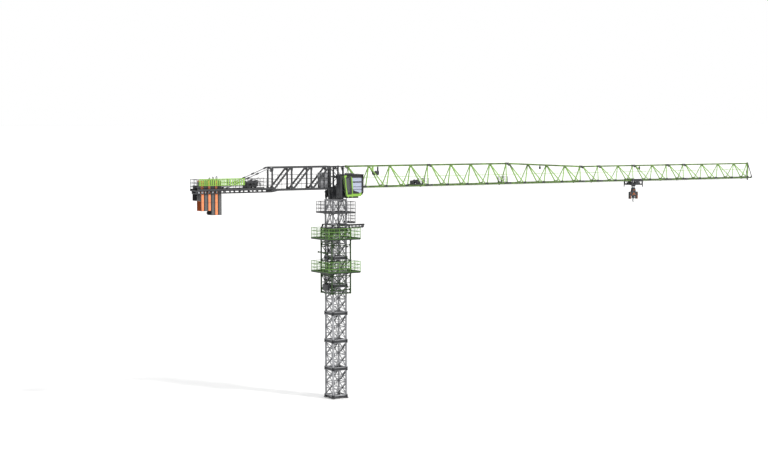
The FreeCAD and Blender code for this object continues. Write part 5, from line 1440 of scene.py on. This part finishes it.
def build_ropes():
    """Fixed runs ride on the upper works; the runs to the trolley and the falls are made on no body."""
    fixed, pulleys, plates = builders(3)
    drum_x, drum_z, drum_r, _ = HOIST_DRUM
    upper = 23.15 - SMALL_PULLEY
    path = [(drum_x - 0.1, 0, drum_z + drum_r - 0.02), (drum_x, 0, drum_z + drum_r)]
    path += arc((REAR_PULLEY_X, 0, upper), SMALL_PULLEY, 122, 90, 4)
    path += arc((TURRET_PULLEY_X, 0, upper), SMALL_PULLEY, 90, 82, 2)
    path += [(4.5, 0, 22.72)]
    fixed.sweep(path, ROPE_R, 6)
    root = (1.45, 0, ROPE_Z + ROOT_PULLEY)
    fixed.sweep([(4.5, 0, 22.47)] + arc(root, ROOT_PULLEY, 112, 270, 12), ROPE_R, 6)
    add_pulley(pulleys, REAR_PULLEY_X, 0, upper, SMALL_PULLEY)
    add_pulley(pulleys, TURRET_PULLEY_X, 0, upper, SMALL_PULLEY)
    add_pulley(pulleys, *root, ROOT_PULLEY)
    for x, z, top in ((REAR_PULLEY_X, upper, 23.32), (TURRET_PULLEY_X, upper, 23.3)):
        for y in (-0.055, 0.055):
            plates.slab([(x - 0.05, z - 0.05), (x + 0.05, z - 0.05), (x + 0.08, top), (x - 0.08, top)], 1,
                        y - 0.006, y + 0.006)
        plates.rod((x, -0.07, z), (x, 0.07, z), 0.022, 10)
    plates.bar((-7.4, -0.06, 23.31), (-7.2, -0.06, 23.31), 0.03, 0.05)
    plates.bar((-7.4, 0.06, 23.31), (-7.2, 0.06, 23.31), 0.03, 0.05)
    for y in (-0.055, 0.055):
        plates.slab([(1.4, 21.12), (1.5, 21.12), (1.5, 21.26), (1.16, 21.3), (1.16, 21.22)], 1,
                    y - 0.006, y + 0.006)
    plates.rod((root[0], -0.075, root[2]), (root[0], 0.075, root[2]), 0.025, 10)
    y, middle = TROLLEY_ROPE_Y, (TROLLEY_ROPE_HIGH + TROLLEY_ROPE_LOW) / 2
    wind_x, wind_z, wind_r, _ = TROLLEY_DRUM
    fixed.sweep([(wind_x, y, wind_z + wind_r)] + arc((RETURN_X, y, middle), SMALL_PULLEY, 94, 270, 12),
                ROPE_R, 6)
    fixed.sweep([(wind_x, -y, wind_z - wind_r), (9.9, -y, wind_z - wind_r + 0.01),
                 (11.5, -y, TROLLEY_ROPE_HIGH + 0.01)] + arc((TIP_PULLEY_X, -y, middle), SMALL_PULLEY, 90,
                                                             -90, 12), ROPE_R, 6)
    for x, side in ((RETURN_X, 1), (TIP_PULLEY_X, -1)):
        add_pulley(pulleys, x, side * y, middle, SMALL_PULLEY)
        for dy in (-0.055, 0.055):
            plates.box((x - 0.04, side * y + dy - 0.006, middle - 0.05),
                       (x + 0.04, side * y + dy + 0.006, middle + 0.05))
            plates.bar((x, side * y + dy, middle), (x - 0.5 if x < 10 else x + 0.26, side * y + dy,
                                                    JIB_Z), 0.012, 0.06)
        plates.rod((x, side * y - 0.07, middle), (x, side * y + 0.07, middle), 0.02, 10)
    fixed.make("fixed_rope_runs", "upper_works", "wire_rope")
    pulleys.make("rope_pulleys", "upper_works", "bolt_steel")
    plates.make("pulley_plates", "upper_works", "dark_steel")
    rear, front, falls = builders(3)
    rear.rod((root[0], 0, ROPE_Z), (TROLLEY_X - 2 * SHEAVE_LINE, 0, ROPE_Z), ROPE_R, 8)
    rear.rod((RETURN_X, y, TROLLEY_ROPE_LOW), (TROLLEY_X - 0.76, y, TROLLEY_ROPE_LOW), ROPE_R, 8)
    front.rod((TROLLEY_X + 2 * SHEAVE_LINE, 0, ROPE_Z), (56.1, 0, ROPE_Z), ROPE_R, 8)
    front.rod((TROLLEY_X + 0.76, -y, TROLLEY_ROPE_LOW), (TIP_PULLEY_X, -y, TROLLEY_ROPE_LOW), ROPE_R, 8)
    behind = rear.make("ropes_behind_trolley", None, "wire_rope")
    ahead = front.make("ropes_ahead_of_trolley", None, "wire_rope")
    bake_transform(behind)
    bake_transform(ahead)
    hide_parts("jib_ropes")
    high, low = SHEAVE_Z, HOOK_SHEAVE_Z
    for x in (TROLLEY_X - SHEAVE_LINE, TROLLEY_X + SHEAVE_LINE):
        falls.rod((x, 0, high), (x, 0, low), ROPE_R, 8)
    hanging = falls.make("hoist_rope_falls", None, "wire_rope")
    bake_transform(hanging)
    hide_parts("rope_falls")


def build_drum_wraps():
    """One layer of rope wound on each drum."""
    for name, body, (x, z, radius, half) in (("hoist_rope_wraps", "hoist_drum", HOIST_DRUM),
                                             ("trolley_rope_wraps", "trolley_drum", TROLLEY_DRUM)):
        wraps = Builder()
        half -= 0.035
        turns = int(2 * half / (2.1 * ROPE_R))
        steps = 20
        path = []
        for i in range(turns * steps + 1):
            turn = 2 * math.pi * i / steps
            y = -half + 2 * half * i / (turns * steps)
            path.append((x + radius * math.cos(turn), y, z + radius * math.sin(turn)))
        wraps.sweep(path, ROPE_R, 5)
        wraps.make(name, body, "wire_rope")


# ---- cab -------------------------------------------------------------------
CAB_REAR = -0.34
CAB_FRONT = 1.95
CAB_NEAR = -2.0
CAB_FAR = -0.85
CAB_LOW = 20.4
CAB_TOP = 22.5
CAB_FLOOR_REAR = 0.05
CAB_FLOOR_FRONT = 1.75
CAB_RAIL_Y = -1.95
REAR_RAIL_X = -0.385


def cab_rear(z):
    """The cab's rear edge leans in towards its floor."""
    return CAB_REAR + (CAB_TOP - z) * (CAB_FLOOR_REAR - CAB_REAR) / (CAB_TOP - CAB_LOW)


def build_cab_outside():
    """Dark window surrounds, glazing bars, door seal, hinges, handles, roof rim and grab rails."""
    dark, green, rails, panes = builders(4)
    door_top, door_low = CAB_TOP - 0.18, CAB_LOW + 0.18
    for side, face in ((-1, CAB_NEAR), (1, CAB_FAR)):
        near, far = sorted((face, face + side * 0.012))
        dark.slab([(0.66, 22.32), (0.66, 22.5), (1.95, 22.5), (1.95, 22.24), (0.78, 22.24)], 1, near, far)
        dark.slab([(1.82, 22.5), (2.055, 22.5), (2.055, 20.78), (1.9, 20.52), (1.8, 20.55), (1.84, 20.92)],
                  1, near, far)
        green.slab([(1.5, 20.43), (1.76, 20.43), (1.96, 20.66), (1.86, 20.76), (1.5, 20.68)], 1,
                   near, far + 0.001)
        dark.slab([(cab_rear(CAB_TOP), CAB_TOP), (cab_rear(CAB_TOP) + 0.16, CAB_TOP),
                   (cab_rear(CAB_LOW) + 0.07, CAB_LOW), (cab_rear(CAB_LOW), CAB_LOW)], 1, near, far)
        green.slab([(cab_rear(22.36) + 0.16, 22.36), (cab_rear(22.36) + 0.31, 22.36),
                    (cab_rear(20.6) + 0.2, 20.6), (cab_rear(20.6) + 0.07, 20.6)], 1, near, far + 0.001)
        dark.slab([(0.12, 22.26), (0.12, 22.5), (0.66, 22.5), (0.66, 22.36)], 1, near, far + 0.001)
        dark.slab([(0.8, 21.2), (0.93, 20.97), (1.5, 20.8), (1.6, 20.66), (0.84, 20.66)], 1, near, far)
        for z, depth in ((21.82, 0.11), (21.35, 0.035), (21.08, 0.035)):
            edge = 0.77 + (22.32 - z) * 0.063
            glass = face - side * 0.01
            a, b = sorted((glass, glass + side * 0.018))
            dark.box((edge, a, z - depth / 2), (1.87, b, z + depth / 2))
        green.bar((0.62, face + side * 0.008, 20.63), (1.72, face + side * 0.008, 20.63), 0.016, 0.05)
        rear = cab_rear(door_top) + 0.22, cab_rear(door_low) + 0.22
        a, b = sorted((face, face + side * 0.01))
        panes.slab([(rear[0], 22.22), (rear[1], 20.78), (0.5, 20.78), (0.42, 22.22)], 1, a, b)
        rim = [((rear[0] - 0.02, 22.24), (0.44, 22.24)), ((rear[1] - 0.02, 20.76), (0.52, 20.76)),
               ((rear[0] - 0.01, 22.24), (rear[1] - 0.01, 20.76)), ((0.43, 22.24), (0.51, 20.76))]
        for (xa, za), (xb, zb) in rim:
            dark.bar((xa, face + side * 0.012, za), (xb, face + side * 0.012, zb), 0.012, 0.03)
        for z in (21.0, 21.5, 22.1):
            x = cab_rear(z) + 0.1
            dark.rod((x, face + side * 0.012, z - 0.05), (x, face + side * 0.012, z + 0.05), 0.014, 8)
        rails.sweep([(0.52, face, 21.2), (0.52, face + side * 0.02, 21.22), (0.52, face + side * 0.02, 21.5),
                     (0.52, face, 21.52)], 0.011, 6)
    for y in (CAB_NEAR + 0.03, CAB_FAR - 0.03):
        dark.bar((1.958, y, 20.86), (1.958, y, 22.5), 0.05, 0.014)
        dark.bar((1.758, y, 20.4), (1.958, y, 20.86), 0.05, 0.014)
    for z, depth in ((22.36, 0.26), (21.82, 0.06), (21.35, 0.025), (21.08, 0.025), (20.86, 0.06)):
        dark.box((1.93, CAB_NEAR + 0.02, z - depth / 2), (1.962, CAB_FAR - 0.02, z + depth / 2))
    dark.box((CAB_FLOOR_REAR + 0.12, CAB_NEAR + 0.01, CAB_LOW - 0.17),
             (CAB_FLOOR_FRONT - 0.28, CAB_FAR - 0.01, CAB_LOW))
    rim_low, rim_high = CAB_TOP + 0.005, CAB_TOP + 0.03
    roof, roof_top = CAB_TOP + 0.09, CAB_TOP + 0.2
    dark.box((CAB_REAR - 0.02, CAB_NEAR - 0.03, rim_low - 0.005),
             (CAB_FRONT + 0.11, CAB_NEAR - 0.018, rim_high))
    dark.box((CAB_FRONT + 0.1, CAB_NEAR - 0.03, rim_low - 0.005),
             (CAB_FRONT + 0.11, CAB_FAR + 0.03, rim_high))
    for i in range(12):
        x = -0.2 + i * 0.18
        dark.box((x, CAB_NEAR + 0.04, roof), (x + 0.05, CAB_FAR - 0.04, CAB_TOP + 0.102))
    dark.box((0.4, -1.7, roof), (1.1, -1.15, roof_top))
    for i in range(7):
        dark.box((0.46 + i * 0.085, -1.71, CAB_TOP + 0.12), (0.5 + i * 0.085, -1.14, CAB_TOP + 0.205))
    rails.sweep([(-0.25, CAB_RAIL_Y, roof), (-0.25, CAB_RAIL_Y, roof_top), (1.9, CAB_RAIL_Y, roof_top),
                 (1.9, CAB_RAIL_Y, roof)], 0.012, 6)
    for x in (0.3, 0.85, 1.4):
        rails.rod((x, CAB_RAIL_Y, roof), (x, CAB_RAIL_Y, roof_top), 0.01, 6)
    for y in (-1.75, -1.1):
        rails.rod((REAR_RAIL_X, y, 20.9), (REAR_RAIL_X, y, 22.2), 0.014, 6)
        for z in (22.1, 21.0):
            rails.rod((REAR_RAIL_X, y, z), (cab_rear(z) + 0.01, y, z), 0.01, 6)
    rails.rod((1.97, -1.45, 20.95), (1.97, -1.2, 21.6), 0.008, 6)
    rails.bar((1.968, -1.3, 21.35), (1.968, -1.08, 21.95), 0.012, 0.014)
    for x in (0.3, 0.755):
        dark.slab([(-1.3, 20.29), (-0.8, 20.29), (-0.8, 20.1)], 0, x - 0.01, x + 0.01)
    dark.make("cab_dark_trims", "upper_works", "rubber", 0.002)
    green.make("cab_green_trims", "upper_works", "cab_green")
    rails.make("cab_grab_rails", "upper_works", "bolt_steel")
    panes.make("cab_door_panes", "upper_works", "dark_glass")


def padded_shell(builder, centre, size, rounding, lean=0.0):
    """A soft block: a box whose corners are drawn in by a superellipse, leaning back by lean."""
    rings, sides = 9, 20
    points = []
    for ring in range(rings + 1):
        rise = -1 + 2 * ring / rings
        pull = (1 - abs(rise) ** rounding) ** (1 / rounding) if abs(rise) < 1 else 0.35
        pull = max(pull, 0.35)
        for c, s in around(sides):
            u = math.copysign(abs(c) ** (2 / rounding), c) * pull
            v = math.copysign(abs(s) ** (2 / rounding), s) * pull
            z = rise * size[2] / 2
            points.append((centre[0] + u * size[0] / 2 - lean * z,
                           centre[1] + v * size[1] / 2, centre[2] + z))
    builder.add(points, tube_faces(rings + 1, sides))


SEAT_Y = -1.42


def build_cab_inside():
    """Seat, side consoles with levers and a display on its stalk."""
    seat, console = builders(2)
    y = SEAT_Y
    padded_shell(seat, (0.78, y, 20.98), (0.52, 0.5, 0.13), 5)
    padded_shell(seat, (0.5, y, 21.35), (0.13, 0.48, 0.66), 5, 0.16)
    padded_shell(seat, (0.42, y, 21.76), (0.1, 0.28, 0.2), 4, 0.16)
    for arm in (y - 0.34, y + 0.34):
        padded_shell(console, (0.85, arm, 21.1), (0.5, 0.13, 0.1), 6)
        console.rod((0.72, arm, 20.48), (0.72, arm, 21.06), 0.045, 12)
        console.rod((1.0, arm, 21.15), (1.01, arm, 21.28), 0.012, 8)
        console.lathe((1.01, arm, 21.27), ALONG_Z,
                      [(0, 0.012), (0.02, 0.03), (0.05, 0.03), (0.07, 0.012)], 12)
        for i in range(4):
            console.rod((0.78 + i * 0.05, arm, 21.15), (0.78 + i * 0.05, arm, 21.165), 0.012, 8)
    console.lathe((0.75, y, 20.48), ALONG_Z,
                  [(0, 0.2), (0.03, 0.2), (0.06, 0.07), (0.4, 0.07), (0.42, 0.18), (0.44, 0.18)], 20)
    console.rod((1.55, -1.1, 20.5), (1.6, -1.1, 21.35), 0.015, 8)
    console.bar((1.6, -1.28, 21.4), (1.6, -0.98, 21.4), 0.03, 0.2)
    console.block((1.35, y, 20.53), (0.3, 0.34, 0.05))
    seat.make("cab_seat", "upper_works", "seat_fabric")
    console.make("cab_controls", "upper_works", "rubber")


# ---- trolley ---------------------------------------------------------------
WHEEL_Z = 21.274
FRAME_FACE = 0.7
TROLLEY_HALF = 0.79


def build_trolley():
    """Wheel hubs, bolts, rope guards, anchors of the trolley rope, and the hoist rope over each sheave."""
    dark, steel, rope = builders(3)
    x = TROLLEY_X
    for dx in (-0.62, 0.62):
        for side in SIDES:
            steel.lathe((x + dx, side * FRAME_FACE, WHEEL_Z), (0, side, 0),
                        [(0, 0.06), (0.02, 0.06), (0.02, 0.04), (0.06, 0.035)], 16)
            for c, s in around(5):
                steel.bolt((x + dx + 0.05 * c, side * FRAME_FACE, WHEEL_Z + 0.05 * s), (0, side, 0), 0.01)
            near, far = facing(side, FRAME_FACE, 0.712)
            dark.slab([(x + dx - 0.14, 21.12), (x + dx + 0.14, 21.12), (x + dx + 0.1, 21.38),
                       (x + dx - 0.1, 21.38)], 1, near, far)
            dark.lathe((x + dx + math.copysign(0.2, dx), side * 0.66, 21.13), ALONG_Z,
                       [(0, 0.02), (0, 0.03), (0.022, 0.03), (0.022, 0.02)], 12)
    for side in SIDES:
        for dx in (-0.75, -0.2, 0.2, 0.75):
            steel.bolt((x + dx, side * FRAME_FACE, 20.75), (0, side, 0), 0.018)
            steel.bolt((x + dx, side * FRAME_FACE, 21.18), (0, side, 0), 0.014)
        near, far = facing(side, FRAME_FACE, 0.71)
        dark.box((x - TROLLEY_HALF, near, 20.72), (x + TROLLEY_HALF, far, 20.79))
        dark.box((x - TROLLEY_HALF, near, 21.16), (x + TROLLEY_HALF, far, 21.19))
        for dx in (-2 * SHEAVE_LINE, 2 * SHEAVE_LINE):
            dark.lathe((x + dx, side * 0.135, SHEAVE_Z), (0, side, 0),
                       [(0, 0.07), (0.02, 0.07), (0.02, 0.04), (0.04, 0.035)], 16)
            for guard in (x + dx - 0.2, x + dx + 0.2):
                dark.rod((guard, side * 0.11, 21.0), (guard, 0, 21.0), 0.012, 6)
        dark.angle((x - TROLLEY_HALF, side * 0.135, 20.9), (x + TROLLEY_HALF, side * 0.135, 20.9), 0.05, 0.01)
        for end in (x - TROLLEY_HALF, x + TROLLEY_HALF):
            dark.bar((end, side * 0.15, 20.75), (end, side * 0.66, 20.75), 0.1, 0.02)
    for dx in (-0.3, 0.3):
        dark.bar((x + dx, -0.68, 20.75), (x - dx, 0.68, 20.75), 0.05, 0.03)
    for end, side in ((-1, 1), (1, -1)):
        px, y = x + end * 0.77, side * TROLLEY_ROPE_Y
        dark.block((px, y, 20.95), (0.05, 0.03, 0.36))
        dark.bar((px, y, 20.98), (px - end * 0.22, y, 20.79), 0.02, 0.04)
        dark.block((px, y, 20.79), (0.16, 0.12, 0.02))
        steel.lathe((px - end * 0.14, y, TROLLEY_ROPE_LOW), (end, 0, 0),
                    [(0, 0.02), (0.02, 0.026), (0.1, 0.022), (0.16, 0.014)], 10)
    for dx, start, end in ((-2 * SHEAVE_LINE, 90, 0), (2 * SHEAVE_LINE, 90, 180)):
        rope.sweep(arc((x + dx, 0, SHEAVE_Z), SHEAVE_LINE, start, end, 12), ROPE_R, 8)
    dark.make("trolley_fittings", "trolley", "dark_steel")
    steel.make("trolley_hubs_and_bolts", "trolley", "bolt_steel")
    rope.make("trolley_rope_turns", "trolley", "wire_rope")


# ---- hook block and hook -----------------------------------------------------
PLATE_FACE = 0.118
CHEEK_X = 0.48
PIN_Z = 19.7


def build_hook_block():
    """Dark cover plates with orange edges, pin caps, rope guards and the rope's turn round the sheave."""
    cover, caps, steel, rope = builders(4)
    x = TROLLEY_X
    right = [(0.1, 20.4), (0.2, 20.31), (0.28, 19.93), (0.36, 19.905), (0.545, 19.905), (0.575, 19.85),
             (0.575, 19.26), (0.385, 19.26), (0.385, 19.53), (0.26, 19.53), (0.105, 19.45), (0.105, 19.34)]
    outline = [(x + dx, z) for dx, z in right] + [(x - dx, z) for dx, z in reversed(right)]
    for side in SIDES:
        cover.slab(outline, 1, *facing(side, 0.11, PLATE_FACE))
        caps.lathe((x, side * PLATE_FACE, PIN_Z), (0, side, 0),
                   [(0, 0.13), (0.02, 0.13), (0.03, 0.1), (0.045, 0.09)], 24)
        caps.lathe((x, side * 0.11, HOOK_SHEAVE_Z), (0, side, 0),
                   [(0, 0.09), (0.03, 0.09), (0.03, 0.05), (0.05, 0.045)], 20)
        for c, s in around(6, 0.5):
            steel.bolt((x + 0.1 * c, side * 0.138, PIN_Z + 0.1 * s), (0, side, 0), 0.012)
        for dx in (-CHEEK_X, CHEEK_X):
            for z in (19.2, 19.78):
                caps.lathe((x + dx, side * PLATE_FACE, z), (0, side, 0),
                           [(0, 0.06), (0.02, 0.06), (0.025, 0.04), (0.04, 0.035)], 16)
            for z in (19.36, 19.5, 19.64):
                steel.bolt((x + dx, side * PLATE_FACE, z), (0, side, 0), 0.014)
        for dx in (-0.16, 0.16):
            for z in (19.62, 19.86, 20.02):
                steel.bolt((x + dx, side * PLATE_FACE, z), (0, side, 0), 0.014)
    for dx in (-CHEEK_X, CHEEK_X):
        for z in (19.45, 19.62, 19.88):
            cover.rod((x + dx, -0.08, z), (x + dx, 0.08, z), 0.03, 12)
        cover.box((x + dx - 0.115, -0.075, 19.3), (x + dx + 0.115, 0.075, 19.34))
        caps.box((x + dx - 0.12, -0.112, 19.12), (x + dx + 0.12, 0.112, 19.14))
        for side in SIDES:
            near, far = facing(side, PLATE_FACE, 0.126)
            caps.box((x + dx - 0.06, near, 19.3), (x + dx + 0.06, far, 19.52))
            caps.box((x + dx * 0.45 - 0.05, near, 19.55), (x + dx * 0.45 + 0.05, far, 19.66))
    for dx in (-0.13, 0.13):
        cover.rod((x + dx, -0.08, 20.36), (x + dx, 0.08, 20.36), 0.02, 10)
    cover.box((x - 0.2, -0.075, 19.52), (x + 0.2, 0.075, 19.56))
    rope.sweep(arc((x, 0, HOOK_SHEAVE_Z), SHEAVE_LINE, 180, 360, 20), ROPE_R, 8)
    cover.make("hook_block_covers", "hook_block", "slate_steel", 0.004)
    caps.make("hook_block_caps", "hook_block", "block_orange", 0.003)
    steel.make("hook_block_bolts", "hook_block", "bolt_steel")
    rope.make("hook_block_rope_turn", "hook_block", "wire_rope")


def build_hook():
    """The forged hook as one smooth swept body, with its nut, bearing and spring latch."""
    forging, latch = builders(2)
    x, eye = TROLLEY_X, 18.96
    path = [(x, 0, 19.33), (x, 0, 19.24), (x, 0, 19.15), (x - 0.006, 0, 19.11), (x - 0.03, 0, 19.08)]
    sizes = [0.043, 0.043, 0.043, 0.046, 0.047]
    bowl = arc((x, 0, eye), 0.125, 128, 352, 26)
    path += bowl
    for i in range(len(bowl)):
        share = i / (len(bowl) - 1)
        sizes.append(0.043 + 0.002 * math.sin(math.pi * share) - 0.013 * max(0, share - 0.6) / 0.4)
    path += [(x + 0.135, 0, 18.985), (x + 0.152, 0, 19.01), (x + 0.168, 0, 19.025)]
    sizes += [0.027, 0.02, 0.009]
    forging.sweep(path, sizes, 20)
    forging.lathe((x, 0, 19.322), ALONG_Z, [(0, 0.05), (0, 0.057), (0.055, 0.057), (0.068, 0.045),
                                            (0.068, 0.02)], 6)
    forging.lathe((x, 0, 19.115), ALONG_Z, [(0, 0.05), (0.004, 0.065), (0.04, 0.065), (0.044, 0.05)], 28)
    work = forging.make("forged_hook", "hook", "hook_steel")
    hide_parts("hook")
    latch.slab([(x + 0.03, 19.085), (x + 0.05, 19.085), (x + 0.15, 19.0), (x + 0.135, 18.985)], 1, -0.02,
               0.02)
    latch.lathe((x + 0.04, -0.03, 19.082), ALONG_Y,
                [(0, 0.008), (0, 0.016), (0.06, 0.016), (0.06, 0.008)], 12)
    for i in range(5):
        latch.lathe((x + 0.04, -0.02 + i * 0.009, 19.082), ALONG_Y, [(0, 0.02), (0.005, 0.02)], 12)
    latch.make("hook_latch", "hook", "bolt_steel")


build_mast_bands()
build_mast_lacing()
build_landings()
build_base()
build_platforms()
build_cage()
build_jacking_gear()
build_monorail()
build_slewing_ring()
build_turret()
build_jib()
build_jib_walkway()
build_jib_tip()
build_counter_truss()
build_cabinets()
build_deck()
build_ties()
build_weights()
build_hoist_winch()
build_trolley_winch()
build_ropes()
build_drum_wraps()
build_cab_outside()
build_cab_inside()
build_trolley()
build_hook_block()
build_hook()
